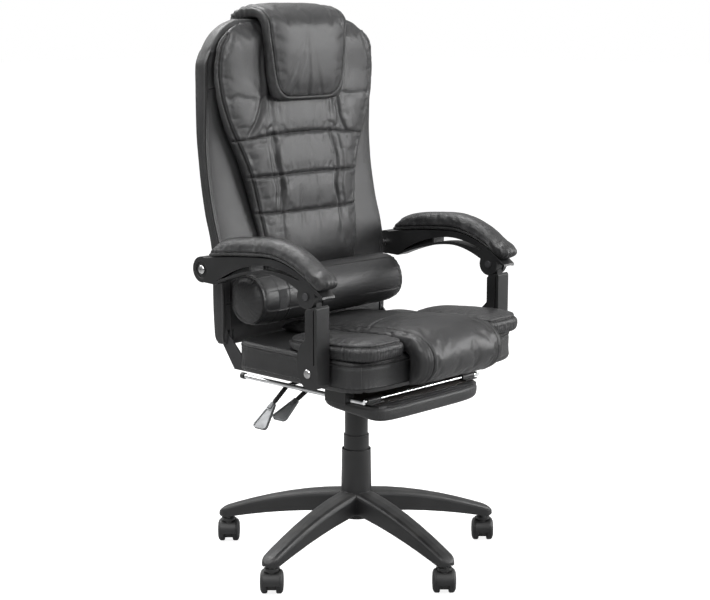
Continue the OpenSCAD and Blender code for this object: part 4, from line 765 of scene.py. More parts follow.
def shell_mid(s):
    return 0.139 + 0.047 * curve(LEAN, s) + BACK_T / 2


def shell_front(z):
    s = (np.asarray(z) - FOOT_Z) / BACK_H
    return shell_mid(s) - BACK_T / 2 * curve(DEPTH, s)


print("wing front at 0.7, 0.85 and 1.0:", shell_front([0.7, 0.85, 1.0]).round(3))

# %% [markdown]
# The side wall of the shell is a strip of its own, sewn to the front and to the rear.
# Behind, a yoke seam crosses it near the top and a hem near the foot, and slack cloth
# lies in long shallow folds. The foam is firm, so moving the points along their normals
# is enough and the cloth solver isn't needed.

# %% Back shell
levels = [np.linspace(0, 0.02, 5)[:-1], np.linspace(0.02, 0.9, 118)[:-1], np.linspace(0.9, 1, 24)]
rings = []
for s in np.concatenate(levels):
    half = BACK_HALF * curve(WIDTH, s)
    plan = superellipse(half, BACK_T / 2 * curve(DEPTH, s), 6, 240)
    crown = np.where(plan[:, 1] > 0, 0.008 * (1 - (plan[:, 0] / half) ** 2), 0)
    y = shell_mid(s) + plan[:, 1] + crown
    rings.append(np.column_stack([plan[:, 0], y, np.full(240, FOOT_Z + BACK_H * s)]))
back_shell = skin_object("back_shell_cover", rings)
co, nrm = points_of(back_shell), normals_of(back_shell)
sewing = SeamMap(co)
line_z = np.linspace(0.492, 1.09, 24)
side = np.abs(nrm[:, 0]) > 0.35
front_line = np.column_stack([np.zeros(24), shell_front(line_z) + 0.009, line_z])
behind = 2 * shell_mid((line_z - FOOT_Z) / BACK_H) - shell_front(line_z) - 0.008
rear_line = np.column_stack([np.zeros(24), behind, line_z])
front_off = sewing.add(front_line, 0, side, 2)[0]
rear_off = sewing.add(rear_line, 0, side, 1)[0]
rear_face = nrm[:, 1] > 0.5
hem_off, hem_run = sewing.add([(-0.24, 0, 0.572), (0, 0, 0.566), (0.24, 0, 0.572)], 1, rear_face, 2)
yoke = [(x, 0, 1.035 - 0.02 * (x / 0.24) ** 2) for x in np.linspace(-0.243, 0.243, 24)]
yoke_off, yoke_run = sewing.add(yoke, 1, rear_face, 2)
dip = -0.0016 * (
    bump_at(front_off, 0.0028) + bump_at(rear_off, 0.0025) + bump_at(hem_off, 0.003)
    + bump_at(yoke_off, 0.003)
)
welt = 0.0009 * (bump_at(np.abs(front_off) - 0.006, 0.003) + bump_at(np.abs(yoke_off) - 0.006, 0.004))
folds = 0.0007 * gathers(hem_run, hem_off, 0.019, 0.05, 5)
folds += 0.0006 * gathers(yoke_run, yoke_off, 0.023, 0.06, 7)
loose = 0.0008 * wrinkles(co, (0.11, 0.05, 0.19), 3) * np.clip(np.abs(nrm[:, 1]), 0, 1)
sewing.sew(back_shell, nrm, dip + welt + folds + loose - 0.0008)
print(back_shell.name, "from", len(rings), "sections")

# %% [markdown]
# The steel straps of the back leave the shell at its foot, beside the hinge plates. The
# cover is slit there, so that the plates stay clear of it while the back reclines. A
# boolean cut with a plain box makes the slit and leaves the rest of the cover alone.

# %% Slits at the foot of the shell
def box_object(name, low, high):
    corners = [(x, y, z) for x in (low[0], high[0]) for y in (low[1], high[1]) for z in (low[2], high[2])]
    faces = [(0, 1, 3, 2), (4, 6, 7, 5), (0, 4, 5, 1), (2, 3, 7, 6), (0, 2, 6, 4), (1, 5, 7, 3)]
    mesh = bpy.data.meshes.new(name)
    mesh.from_pydata(corners, [], faces)
    return placed(name, mesh)


def cut_away(obj, low, high):
    tool = box_object("cutter", low, high)
    cut = obj.modifiers.new("cut", "BOOLEAN")
    cut.operation, cut.object, cut.solver = "DIFFERENCE", tool, "MANIFOLD"
    apply_modifiers(obj)
    bpy.data.objects.remove(tool)


for sign in (-1, 1):
    ends = sorted((sign * 0.2245, sign * 0.2392))
    cut_away(back_shell, (ends[0], 0.100, 0.470), (ends[1], 0.1730, 0.5160))
upholster(back_shell, "back", ["back_shell"], shell_leather)

# %% [markdown]
# ## The quilted front panel
# The panel stands about 35 mm proud of the wings, with a boxed side wall. Three cross
# seams quilt it, and between them the cover is gathered into two upright folds. It is
# filled by the cloth solver with every seam held, as a sewn cover over foam would be.

# %% Front panel, before filling
PANEL_Z, PANEL_H, PANEL_HALF, PANEL_T = 0.536, 0.614, 0.236, 0.037
PANEL_WIDE = [
    (0, 0.5), (0.014, 0.57), (0.049, 0.59), (0.176, 0.595), (0.274, 0.625), (0.352, 0.645),
    (0.479, 0.705), (0.547, 0.765), (0.616, 0.85), (0.655, 0.9), (0.762, 0.985), (0.84, 1.005),
    (0.915, 0.982), (0.95, 0.925), (0.98, 0.83), (1, 0.7),
]
PANEL_DEEP = [
    (0, 0.12), (0.014, 0.18), (0.049, 0.2), (0.137, 0.2), (0.195, 0.4), (0.274, 0.6), (0.352, 0.81),
    (0.479, 1), (0.616, 0.88), (0.762, 0.57), (0.88, 0.46), (0.95, 0.38), (0.985, 0.3), (1, 0.15),
]


def panel_half(z):
    return PANEL_HALF * curve(PANEL_WIDE, (np.asarray(z) - PANEL_Z) / PANEL_H)


def panel_front(z):
    return shell_front(z) - 0.0006 - PANEL_T * curve(PANEL_DEEP, (np.asarray(z) - PANEL_Z) / PANEL_H)


rings = []
for s in np.linspace(0, 1, 130):
    z = PANEL_Z + PANEL_H * s
    rear, deep = shell_front(z) - 0.0006, PANEL_T * curve(PANEL_DEEP, s)
    t = np.pi + np.pi * (np.arange(90) + 0.5) / 90
    x = np.concatenate([signed_power(np.cos(t), 0.36), np.linspace(0.97, -0.97, 40)]) * panel_half(z)
    y = np.concatenate([rear - deep * np.abs(np.sin(t)) ** 0.45, np.full(40, rear)])
    rings.append(np.column_stack([x, y, np.full(130, z)]))
panel = skin_object("back_panel_quilt", rings)
even_net(panel, 0.005)

# %% [markdown]
# The seams of the panel are lines in the front view, and each point of the cover looks up
# its distance from the nearest one. They could be edges of the mesh, but the remesh would
# erase them, so they are measured again whenever the net changes.

# %% Seams of the panel
CROSS = {0.918: 0.013, 0.831: 0.002, 0.7515: -0.001}
FOLDS = {
    "left fold": [
        (-0.093, 0, 0.917), (-0.089, 0, 0.884), (-0.087, 0, 0.855), (-0.083, 0, 0.83), (-0.078, 0, 0.80),
        (-0.084, 0, 0.765), (-0.088, 0, 0.70),
    ],
    "right fold": [
        (0.078, 0, 0.917), (0.088, 0, 0.884), (0.094, 0, 0.85), (0.088, 0, 0.825), (0.082, 0, 0.797),
        (0.088, 0, 0.756), (0.086, 0, 0.70),
    ],
    "left sweep": [
        (-0.110, 0, 1.0), (-0.122, 0, 0.972), (-0.134, 0, 0.948), (-0.152, 0, 0.926), (-0.163, 0, 0.914)
    ],
    "right sweep": [
        (0.106, 0, 1.0), (0.108, 0, 0.972), (0.110, 0, 0.948), (0.118, 0, 0.928), (0.126, 0, 0.916)
    ],
}


def panel_seams(co, nrm):
    sewing, facing, found = SeamMap(co), nrm[:, 1] < -0.25, {}
    for z0, drop in CROSS.items():
        half = float(panel_half(z0)) * 0.965
        line = [(x, 0, z0 - drop * (x / half) ** 2) for x in np.linspace(-half, half, 9)]
        found[f"cross {z0}"] = sewing.add(line, 1, facing, 1)
    for name, line in FOLDS.items():
        found[name] = sewing.add(even_line(line, 12), 1, facing, 0)
    heights = np.linspace(0.56, 1.125, 30)
    for sign in (-1, 1):
        line = np.column_stack([sign * (panel_half(heights) - 0.0085), heights * 0, heights])
        found[f"border {sign}"] = sewing.add(line, 1, nrm[:, 1] < 0.2, 2)
    return sewing, found


co, nrm = points_of(panel), normals_of(panel)
sewing, found = panel_seams(co, nrm)
near_seam = np.min([np.abs(off) for off, _ in found.values()], axis=0) < 0.0034
held = near_seam | (nrm[:, 1] > -0.15) | (co[:, 2] < 0.57)
fill_out(panel, held, pressure=5.0, cap=0.0045)
refine(panel)
print(len(found), "seams on", panel.name)

# %% [markdown]
# The filled net is fine enough now for the needlework: each seam pulls a groove, the
# cloth beside it stands up, and gathers run off it. The two upright folds are deep on one
# side and rounded on the other, as spare cloth lies.

# %% Needlework on the panel
co, nrm = points_of(panel), normals_of(panel)
sewing, found = panel_seams(co, nrm)
move = np.zeros(len(co))
for i, z0 in enumerate(CROSS):
    off, along = found[f"cross {z0}"]
    move += groove(off, 0.0024, 0.0020, 0.0006, 0.008, 0.005)
    move += 0.0004 * gathers(along, off, 0.021, 0.022, 11 + i)
for i, name in enumerate(("left fold", "right fold")):
    off, along = found[name]
    strong = 0.5 + 0.5 * np.sin(np.clip(along / 0.215, 0, 1) * np.pi)
    strong = strong + 0.35 * soft_noise(on_line(along), 0.03, 20 + i)
    strong = strong * np.clip((0.214 - along) / 0.05, 0, 1)
    outward = 1 if i else -1
    rolled = np.where(off > 0, 1, -1) != outward
    move += strong * groove(off, 0.0048, 0.0036, 0.0022 * rolled, 0.010, 0.006)
    move += strong * (
        -0.0018 * bump_at(off - 0.017 * outward, 0.004) + 0.0010 * bump_at(off - 0.024 * outward, 0.006)
    )
for i, name in enumerate(("left sweep", "right sweep")):
    off, along = found[name]
    strong = np.sin(np.clip(along / 0.105, 0, 1) * np.pi) ** 0.6 * (1.0 if i == 0 else 0.55)
    move += strong * groove(off, 0.0042, 0.0045, 0.0022, 0.011, 0.007)
for sign in (-1, 1):
    off, along = found[f"border {sign}"]
    move += groove(off, 0.0020, 0.0026, 0.0012, 0.006, 0.0035)
    move += 0.0004 * gathers(along, off, 0.013, 0.012, 31 + sign)
beside = np.abs(np.abs(co[:, 0]) - 0.095)
under_pillow = bump_at(np.clip(1.0 - co[:, 2], 0, 1), 0.05) * bump_at(beside, 0.03)
move += 0.0016 * under_pillow * np.sin(2 * np.pi * co[:, 0] / 0.023 + 2 * soft_noise(co, 0.05, 41))
facing = np.clip(-nrm[:, 1] * 1.3, 0, 1)
broad, narrow = soft_noise(co, (0.05, 0.2, 0.12), 43), soft_noise(co, (0.019, 0.1, 0.045), 47)
move += facing * (0.0009 * broad + 0.0003 * narrow - 0.0004)
sewing.sew(panel, nrm, move)
upholster(panel, "back", ["back_panel"], cover_leather)

# %% [markdown]
# ## Pillows that follow a line
# The headrest, the centre cushion and the arm pads are strips: each lies along a line in
# the side view and has an inner face, an outer face and rounded sides. They share one
# builder, which lofts rounded sections between an inner and an outer line.

# %% Strip cushions and distances along a line
def strip_cushion(name, lines, half, narrow, swell, powers, crown, stations=150, around=96, top=None):
    """Rounded sections between an inner and an outer line; top is another power for the upper half."""
    lines = np.array(lines, float)
    keys = np.linspace(0, 1, lines.shape[1])
    t = 2 * np.pi * (np.arange(around) + 0.5) / around
    across = signed_power(np.cos(t), np.where(np.sin(t) > 0, top or powers[0], powers[0]))
    depth = (signed_power(np.sin(t), powers[1]) + 1) / 2
    rings = []
    for s in np.linspace(0, 1, stations):
        a, b = (np.array([curve(np.stack([keys, column], 1), s) for column in line.T]) for line in lines)
        full = float(curve(swell, s)) * (1 + crown * (1 - across**2))
        x = half * float(curve(narrow, s)) * across
        rings.append(np.column_stack([x, a + (depth * full)[:, None] * (b - a)]))
    return skin_object(name, rings)


def along_line(co, line):
    """Run along a side-view line and signed distance from it."""
    path = np.array([(0, y, z) for y, z in line], float)
    off, run = SeamMap(co).add(path, 0)
    return run, off


def inset_of(x, run, half, foot, radius):
    """Distance inside a rounded outline that is open at its far end."""
    a, b = np.abs(x) - half, foot - run
    out = np.hypot(np.maximum(a + radius, 0), np.maximum(b + radius, 0)) - radius
    return out + np.minimum(np.maximum(a + radius, b + radius), 0)


def mirrored(obj, name):
    twin = placed(name, obj.data.copy())
    put_points(twin, points_of(twin) * [-1, 1, 1])
    twin.data.flip_normals()
    return twin


print("strip tools ready")

# %% [markdown]
# ## Headrest pillow
# The pillow hangs over the shoulders of the back, with a flap behind. Its face narrows to
# a rounded lower edge. A smoothed block could stand for it, but a strip that follows the
# back has its flap and its face where the real one has them.

# %% Headrest, before filling
SHOULDER_Z, HEAD_HALF = FOOT_Z + BACK_H + 0.0003, 0.1235
crest_y = float(shell_mid(1.0))
rear_y = float(shell_mid(0.95)) - BACK_T / 2 + BACK_T * 1.25 + 0.0083
low_z = SHOULDER_Z - 0.172
front_z = low_z + (SHOULDER_Z - low_z) * np.array([0.0, 0.05, 0.16, 0.34, 0.55, 0.75, 0.92]) * 0.93
outer_z = low_z + (SHOULDER_Z + 0.0140 - low_z) * np.array([0.0, 0.05, 0.16, 0.34, 0.55, 0.75, 0.92])
full = np.array([0.6, 0.82, 0.97, 1.04, 1.02, 0.93, 0.86])
seat_line = np.minimum(panel_front(front_z), panel_front(front_z - 0.012)) - 0.0012
head_inner = list(zip(seat_line, front_z)) + [
    (crest_y - 0.0215, SHOULDER_Z), (crest_y, SHOULDER_Z), (crest_y + 0.0172, SHOULDER_Z)
]
head_outer = list(zip(panel_front(np.minimum(outer_z, 1.116)) - 0.029 * full, outer_z))
head_outer += [
    (crest_y - 0.0303, SHOULDER_Z + 0.0245), (crest_y - 0.0043, SHOULDER_Z + 0.0290),
    (crest_y + 0.0267, SHOULDER_Z + 0.0255)
]
for down, out, fall in ((0.014, 0.0144, -0.009), (0.042, 0.0151, 0.035), (0.070, 0.0092, 0.0686)):
    head_inner.append((rear_y, SHOULDER_Z - down))
    head_outer.append((rear_y + out, SHOULDER_Z - fall))
HEAD_NARROW = [
    (0, 0.58), (0.02, 0.69), (0.05, 0.765), (0.10, 0.825), (0.2, 0.89), (0.35, 0.95), (0.5, 0.99),
    (0.65, 1), (0.8, 1), (0.97, 0.97), (1, 0.9),
]
HEAD_SWELL = [
    (0, 0.35), (0.012, 0.62), (0.03, 0.86), (0.06, 1), (0.5, 1.0), (0.9, 1), (0.97, 0.85), (1, 0.5)
]
lines = head_inner, head_outer
head = strip_cushion("headrest_cover", lines, HEAD_HALF, HEAD_NARROW, HEAD_SWELL, (0.3, 0.5), 0.10)
even_net(head, 0.0055)

# %% [markdown]
# A piped seam runs round the face just inside its edge. It is held while the cloth swells,
# so that the face bulges between its seams. The creases that run up from the lower seam
# are drawn afterwards, each with its own place, reach, depth and slant, because the cloth
# solver doesn't put a crease where the real one is.

# %% Headrest, filled and sewn
face_line = even_line(head_outer, 40)
face_long = float(np.linalg.norm(np.diff(face_line, axis=0), axis=1).sum())


def head_fields(obj):
    co, nrm = points_of(obj), normals_of(obj)
    run, off = along_line(co, face_line)
    share = np.clip(run / face_long, 0, 1)
    half = HEAD_HALF * curve(HEAD_NARROW, np.clip(share, 0.12, 1)) - 0.008
    piping = inset_of(co[:, 0], run, half, 0.012, 0.042)
    return co, nrm, run, share, piping


co, nrm, run, share, piping = head_fields(head)
inside = (nrm[:, 1] > 0.5) & (share < 0.55) | (nrm[:, 2] < -0.6)
fill_out(head, (np.abs(piping) < 0.004) | inside | (share > 0.86), pressure=5.5, cap=0.006)
refine(head)
co, nrm, run, share, piping = head_fields(head)
sewing = SeamMap(co)
shown = (nrm[:, 1] < 0.35) | (nrm[:, 2] > 0.2)
sewing.put(piping, run + np.abs(co[:, 0]), shown, 2)
low = np.clip(1 - run / 0.075, 0, 1)
move = -0.0022 * bump_at(piping, 0.0022)
move += 0.0013 * bump_at(piping - 0.0042, 0.0026) + 0.0006 * bump_at(piping + 0.006, 0.004)
move += 0.0012 * gathers(co[:, 0], piping, 0.021, 0.026, 61) * low * (piping < 0)
move += 0.0006 * gathers(run, piping, 0.024, 0.016, 67) * (1 - low) * (piping < 0)
CREASES = [
    (-0.052, 0.050, 0.0020, 0.35), (-0.008, 0.062, 0.0024, -0.05), (0.031, 0.038, 0.0014, -0.3),
    (-0.083, 0.075, 0.0016, 0.5),
]
for x0, reach, deep, slant in CREASES:
    from_middle = co[:, 0] - x0 - slant * (run - 0.02)
    fade = np.exp(-np.maximum(run - 0.02, 0) / reach) * (piping < -0.003) * (run < 0.16)
    move += deep * fade * (0.5 * bump_at(from_middle - 0.009, 0.006) - bump_at(from_middle, 0.0045))
end_fold = bump_at(share - 0.74, 0.10) * bump_at(np.abs(co[:, 0]) - 0.105, 0.03)
slanted = run + 0.5 * np.abs(co[:, 0])
move += 0.0014 * end_fold * np.sin(2 * np.pi * slanted / 0.017 + 2 * soft_noise(co, 0.04, 71))
move += 0.0009 * soft_noise(co, (0.06, 0.1, 0.07), 73) * (piping < 0)
move += 0.0002 * soft_noise(co, 0.021, 79) - 0.0003
sewing.sew(head, nrm, move)
upholster(head, "back", ["headrest_pillow"], pillow_leather)

# %% [markdown]
# ## Lumbar roll
# A bolster with a flat rear, held by an elastic strap that nips it slightly. Its ends are
# domed discs set in with a seam, and the cover shows slack lengthwise swells. It is round
# but for its rear, so rings along its axis are enough and it needs no cloth solver.

# %% Lumbar roll
ROLL_X0, ROLL_X1, ROLL_Z, ROLL_R = -0.249, 0.195, 0.588, 0.054
rest_y = float(min(panel_front(ROLL_Z - 0.027), panel_front(ROLL_Z), panel_front(ROLL_Z + 0.027)))
ROLL_Y = rest_y - 0.0003 - 0.87 * ROLL_R
STRAP_X, JOIN_X, END_SEAMS = -0.185, -0.166, (ROLL_X0 + 0.0125, ROLL_X1 - 0.0125)
ends = [
    (-1, 0.06), (-0.9975, 0.3), (-0.99, 0.52), (-0.975, 0.72), (-0.955, 0.85), (-0.925, 0.945),
    (-0.88, 0.985), (-0.8, 1),
]
ends += [(0, 1.0)] + [(-a, b) for a, b in reversed(ends)]
t = 2 * np.pi * np.arange(120) / 120
shares = [np.linspace(-1, -0.9, 26)[:-1], np.linspace(-0.9, 0.9, 130)[:-1], np.linspace(0.9, 1, 26)]
rings = []
for u in np.concatenate(shares):
    x, r = (ROLL_X0 + ROLL_X1) / 2 + u * (ROLL_X1 - ROLL_X0) / 2, ROLL_R * float(curve(ends, u))
    y, z = ROLL_Y + r * np.minimum(np.cos(t), 0.87), ROLL_Z + r * np.sin(t)
    rings.append(np.column_stack([np.full(120, x), y, z]))
roll = skin_object("lumbar_cover", rings)
refine(roll)
co, nrm = points_of(roll), normals_of(roll)
turn = np.arctan2(co[:, 2] - ROLL_Z, co[:, 1] - ROLL_Y)
around, on_skin = turn * ROLL_R, np.hypot(co[:, 1] - ROLL_Y, co[:, 2] - ROLL_Z) > 0.04
sewing = SeamMap(co)
for x0 in (*END_SEAMS, JOIN_X):
    sewing.put(co[:, 0] - x0, around, True)
lengthwise = (turn - np.radians(118)) * ROLL_R
sewing.put(lengthwise, co[:, 0], on_skin)
by_strap = co[:, 0] - STRAP_X
move = -0.0010 * bump_at(by_strap, 0.016) - 0.0006 * (np.abs(by_strap) < 0.0125)
for x0 in END_SEAMS:
    off = co[:, 0] - x0
    move += groove(off, 0.0020, 0.0018, 0.0008, 0.0042, 0.0026)
    move += 0.0004 * gathers(around, off, 0.013, 0.012, 83)
move -= 0.0012 * bump_at(co[:, 0] - JOIN_X, 0.0016) + 0.0011 * bump_at(lengthwise, 0.002) * on_skin
nip = 0.0007 * gathers(around, by_strap, 0.019, 0.035, 89) * (np.abs(by_strap) > 0.012)
swells = 0.0012 * soft_noise(co, (0.12, 0.035, 0.035), 97)
swells += 0.0004 * wrinkles(co, (0.06, 0.035, 0.035), 101)
flat = nrm[:, 1] > 0.93
sewing.sew(roll, nrm, (move + nip + swells - 0.0010) * ~flat)
upholster(roll, "back", ["lumbar_roll"], pillow_leather)

# %% [markdown]
# The strap runs round the roll and ends at the back. It is one thin section, turned about
# the axis of the roll and sunk into it a little, because an elastic presses into foam.

# %% Elastic strap
turns = np.radians(np.linspace(38, 322, 150))
r0, r1 = ROLL_R - 0.0014, ROLL_R + 0.0008
edge = [(0.006, r1 + 0.0002), (0.0112, r1), (0.0119, r1 - 0.0003), (0.012, r0)]
section = [(-x, r) for x, r in reversed(edge)] + [(0, r1 + 0.0003), *edge, (0, r0)]
rings = []
for a in turns:
    rings.append([(STRAP_X + x, ROLL_Y + r * np.cos(a), ROLL_Z + r * np.sin(a)) for x, r in section])
strap = skin_object("strap_band", rings)
upholster(strap, "back", ["lumbar_strap"], elastic)

# %% [markdown]
# ## Seat box
# The padded border of the seat wraps over the seat board. Its upper edge has a seam with
# two rows of stitches, the front corners are rounder than the rear ones, and the cover
# bulges a little between the seam and the tacked lower edge. It is firm foam on a board,
# so it is lofted from its profile: the cloth solver would round off its flat sides.

# %% Seat box
BOX_A, BOX_B, BOX_Y, BOX_Z0, BOX_Z1, EDGE_R = 0.255, 0.181, -0.069, 0.440, 0.503, 0.007
side_profile = [
    (3.0, 0), (1.0, 0), (0.55, 0.02), (0.22, 0.08), (0.04, 0.2), (0, 0.4), (0, 0.62), (0.06, 0.8),
    (0.3, 0.93), (1.1, 1.0), (4.0, 1.0),
]
side_profile = [(a * EDGE_R, BOX_Z0 + (BOX_Z1 - BOX_Z0) * b) for a, b in side_profile]
rings = []
for inset, level in even_line(side_profile, 84):
    plan = superellipse(BOX_A - inset, BOX_B - inset, [12, 12, 7, 7], 700)
    rings.append(np.column_stack([plan + [0, BOX_Y], np.full(700, level)]))
box = skin_object("seat_border", rings)
co, nrm = points_of(box), normals_of(box)
height = (co[:, 2] - BOX_Z0) / (BOX_Z1 - BOX_Z0)
on_side = np.abs(co[:, 0]) / BOX_A > np.abs(co[:, 1] - BOX_Y) / BOX_B
along = np.where(on_side, co[:, 1] * np.sign(co[:, 0]), 0.6 + co[:, 0] * np.sign(co[:, 1] - BOX_Y))
wall = np.hypot(nrm[:, 0], nrm[:, 1]) > 0.5
edge_off = co[:, 2] - (BOX_Z1 - 0.0085)
hem_off = co[:, 2] - (BOX_Z0 + 0.009)
sewing = SeamMap(co)
sewing.put(edge_off, along, wall, 2)
sewing.put(hem_off, along, wall)
move = wall * (
    -0.0013 * bump_at(edge_off, 0.0017) + 0.0008 * bump_at(edge_off + 0.0048, 0.0024)
    - 0.0008 * bump_at(hem_off, 0.002)
)
belly = np.sin(np.clip(height, 0, 1) * np.pi)
move += wall * belly * (0.0022 + 0.0012 * soft_noise(on_line(along, height * 0.02), 0.11, 103))
move += wall * 0.0009 * belly * wrinkles(on_line(along, co[:, 2] * 2.2), 0.075, 107)
move += wall * 0.0004 * gathers(along, edge_off, 0.016, 0.012, 109)
for x0, y0 in ((0.245, -0.235), (-0.245, -0.235), (0.248, 0.105), (-0.248, 0.105)):
    near = bump_at(np.hypot(co[:, 0] - x0, co[:, 1] - y0), 0.03)
    move += wall * near * 0.0008 * np.sin(2 * np.pi * along / 0.0095) * np.clip(0.5 - height, 0, 1) * 2
sewing.sew(box, nrm, move - 0.0006)
cut_away(box, (-0.2263, -0.2343, 0.425), (0.2263, 0.1023, 0.4523))
for sign in (-1, 1):
    ends = sorted((sign * 0.2337, sign * 0.2383))
    cut_away(box, (ends[0], -0.1643, 0.425), (ends[1], 0.1300, 0.498))
upholster(box, "seat", ["seat_box"], shell_leather)

# %% [markdown]
# ## Thigh pads
# Each pad is a soft bag on a front corner of the seat. The cloth solver fills it, the
# crown keeps a seam round the top, and the front lip is drawn into close upright pleats
# where it is sewn to the border. The pad at the sitter's left is made and then mirrored.

# %% Thigh pad
PAD_A, PAD_B, PAD_X, PAD_Y, PAD_Z, PAD_POWERS = 0.06625, 0.119, 0.19275, -0.143, 0.5033, [3.2, 4, 9, 3]
pad_profile = [
    (0.55, 0.0), (0.16, 0.0), (0.07, 0.04), (0.02, 0.13), (0, 0.3), (0.01, 0.52), (0.05, 0.7),
    (0.12, 0.84), (0.24, 0.94), (0.45, 1.0), (0.75, 1.03), (0.97, 1.035),
]


def pad_high(front):
    """Full height of the pad, which grows from its rear (0) to its front (1)."""
    return 0.043 * (0.62 + 0.38 * front)


rings = []
for share, level in even_line(pad_profile, 56):
    plan = superellipse(PAD_A * (1 - share), PAD_B - PAD_A * share, PAD_POWERS, 220)
    front = (PAD_B - plan[:, 1]) / (2 * PAD_B)
    rings.append(np.column_stack([plan + [PAD_X, PAD_Y], PAD_Z + pad_high(front) * level]))
pad = skin_object("thigh_pad_cover", rings)
even_net(pad, 0.0045)


def pad_fields(obj):
    co, nrm = points_of(obj), normals_of(obj)
    front = np.clip((PAD_B - (co[:, 1] - PAD_Y)) / (2 * PAD_B), 0, 1)
    height = (co[:, 2] - PAD_Z) / pad_high(front)
    line = np.column_stack([superellipse(PAD_A * 0.93, PAD_B - PAD_A * 0.07, PAD_POWERS, 72), np.zeros(72)])
    off, run = SeamMap(co).add(np.vstack([line, line[:1]]) + [PAD_X, PAD_Y, 0], 2)
    return co, nrm, front, height, run, off


co, nrm, front, height, run, off = pad_fields(pad)
fill_out(pad, (height < 0.1) | ((np.abs(off) < 0.004) & (height > 0.4)), pressure=4.5, cap=0.006)
refine(pad)
co, nrm, front, height, run, off = pad_fields(pad)
sewing = SeamMap(co)
upper = height > 0.45
sewing.put(off, run, upper, 2)
pleat = np.sin(2 * np.pi * run / 0.0068 + 2.2 * soft_noise(on_line(run), 0.023, 113))
uneven = 0.45 + 0.55 * np.clip(soft_noise(on_line(run), 0.017, 127) + 0.4, 0, 1)
pleat_depth = uneven * np.clip(front * 2.4 - 1.1, 0, 1)
move = 0.0014 * pleat * pleat_depth * np.clip(1.15 - height, 0, 1) * (nrm[:, 2] < 0.75)
move += upper * groove(off, 0.0020, 0.0019, 0.0009, 0.0048, 0.0028)
move += upper * 0.0006 * gathers(run, off, 0.012, 0.014, 131) * np.clip(front * 2 - 0.4, 0.15, 1)
move += 0.0009 * soft_noise(co, (0.05, 0.07, 0.05), 137) + 0.0002 * soft_noise(co, 0.017, 139) - 0.0004
sewing.sew(pad, nrm, move)
pad_right = mirrored(pad, "thigh_pad_cover_right")
upholster(pad, "seat", ["thigh_pad_left"], cover_leather)
upholster(pad_right, "seat", ["thigh_pad_right"], cover_leather)

# %% [markdown]
# ## Centre cushion
# The cushion lies flat on the seat and rolls over its front edge down to the underside.
# One seam crosses its top. Another runs down each side, and over the roll it has two more
# grooves beside it. It is a strip from the start, because a flat cushion that is bent
# afterwards stretches its seams.

# %% Centre cushion, before filling
Z_TOP, THICK, LIP_Y, LOW_Z = 0.5033, 0.044, -0.2503, 0.437
roll_mid, roll_half = (Z_TOP + THICK + LOW_Z) / 2, (Z_TOP + THICK - LOW_Z) / 2
top_keys = [(0, 0.42), (0.14, 0.5), (0.3, 0.58), (0.46, 0.7), (0.62, 0.84), (0.78, 0.95), (0.9, 1)]
mid_inner = [(0.1117 - 0.362 * a, Z_TOP) for a, b in top_keys]
mid_outer = [(0.1117 - 0.362 * a, Z_TOP + THICK * b) for a, b in top_keys]
angles = np.radians([70, 48, 26, 4, -18, -40, -62, -84])
for i, t in enumerate(angles):
    s = i / 7
    y = LIP_Y + 0.2 * roll_half - (0.058 + 0.2 * roll_half) * np.cos(t)
    mid_outer.append((y, roll_mid + roll_half * np.sin(t)))
    if s < 0.3:
        mid_inner.append((LIP_Y + roll_half * 0.35 * (0.3 - s), Z_TOP))
    else:
        z = Z_TOP + (LOW_Z + 0.002 - Z_TOP) * (s - 0.16) / 0.84
        mid_inner.append((LIP_Y - 0.04 * roll_half, z))
CENTRE_SWELL = [(0, 0.55), (0.02, 0.82), (0.05, 1), (0.93, 1), (0.97, 0.9), (1, 0.6)]
CENTRE_NARROW = [(0, 0.97), (0.03, 1), (0.95, 1), (1, 0.96)]
lines = mid_inner, mid_outer
centre = strip_cushion(
    "centre_cover", lines, 0.124, CENTRE_NARROW, CENTRE_SWELL, (0.22, 0.42), 0.05, 170, 110
)
even_net(centre, 0.0055)

# %% [markdown]
# The base, the face that lies against the seat and the side seams are held, so that the
# cloth can't grow into the seat. Sitting leaves slack wrinkles on the flat part, while the
# roll stays taut.

# %% Centre cushion, filled and sewn
top_line = even_line(mid_outer, 50)


def centre_fields(obj):
    co, nrm = points_of(obj), normals_of(obj)
    run, off = along_line(co, top_line)
    edge = 0.1045 - 0.0035 * np.clip((run - 0.25) / 0.2, 0, 1)
    side = np.abs(co[:, 0]) - edge
    shown = (nrm[:, 2] > -0.2) | (nrm[:, 1] < -0.3)
    return co, nrm, run, side, shown


co, nrm, run, side, shown = centre_fields(centre)
lying = (nrm[:, 2] < -0.5) & (co[:, 2] < 0.52) & (co[:, 1] > LIP_Y)
against = (nrm[:, 1] > 0.4) & (co[:, 1] < LIP_Y + 0.02)
held = lying | against | ((np.abs(side) < 0.004) & shown) | (run < 0.006)
fill_out(centre, held, pressure=4.5, cap=0.006)
refine(centre)
co, nrm, run, side, shown = centre_fields(centre)
sewing = SeamMap(co)
sewing.put(side, run, shown, 2)
cross = run - (0.226 + 0.016 * (co[:, 0] / 0.1) ** 2 - 0.05 * co[:, 0])
on_top = shown & (side < 0) & (nrm[:, 2] > 0.3)
sewing.put(cross, co[:, 0], on_top)
front = np.clip((run - 0.24) / 0.1, 0, 1)
move = shown * (
    -0.0024 * bump_at(side, 0.0021) + 0.0011 * bump_at(side + 0.0052, 0.003)
    + 0.0008 * bump_at(side - 0.0052, 0.003)
)
for step in (0.0085, 0.014):
    row = -0.0012 * bump_at(side - step, 0.0015) + 0.0005 * bump_at(side - step - 0.0027, 0.0016)
    move += shown * front * row
drawn = groove(cross, 0.0020, 0.0024, 0.0009, 0.008, 0.006)
move += on_top * (drawn + 0.0006 * gathers(co[:, 0], cross, 0.024, 0.03, 149))
crease = co[:, 1] + 0.19 + 0.10 * co[:, 0] + 0.012 * soft_noise(co, 0.07, 151)
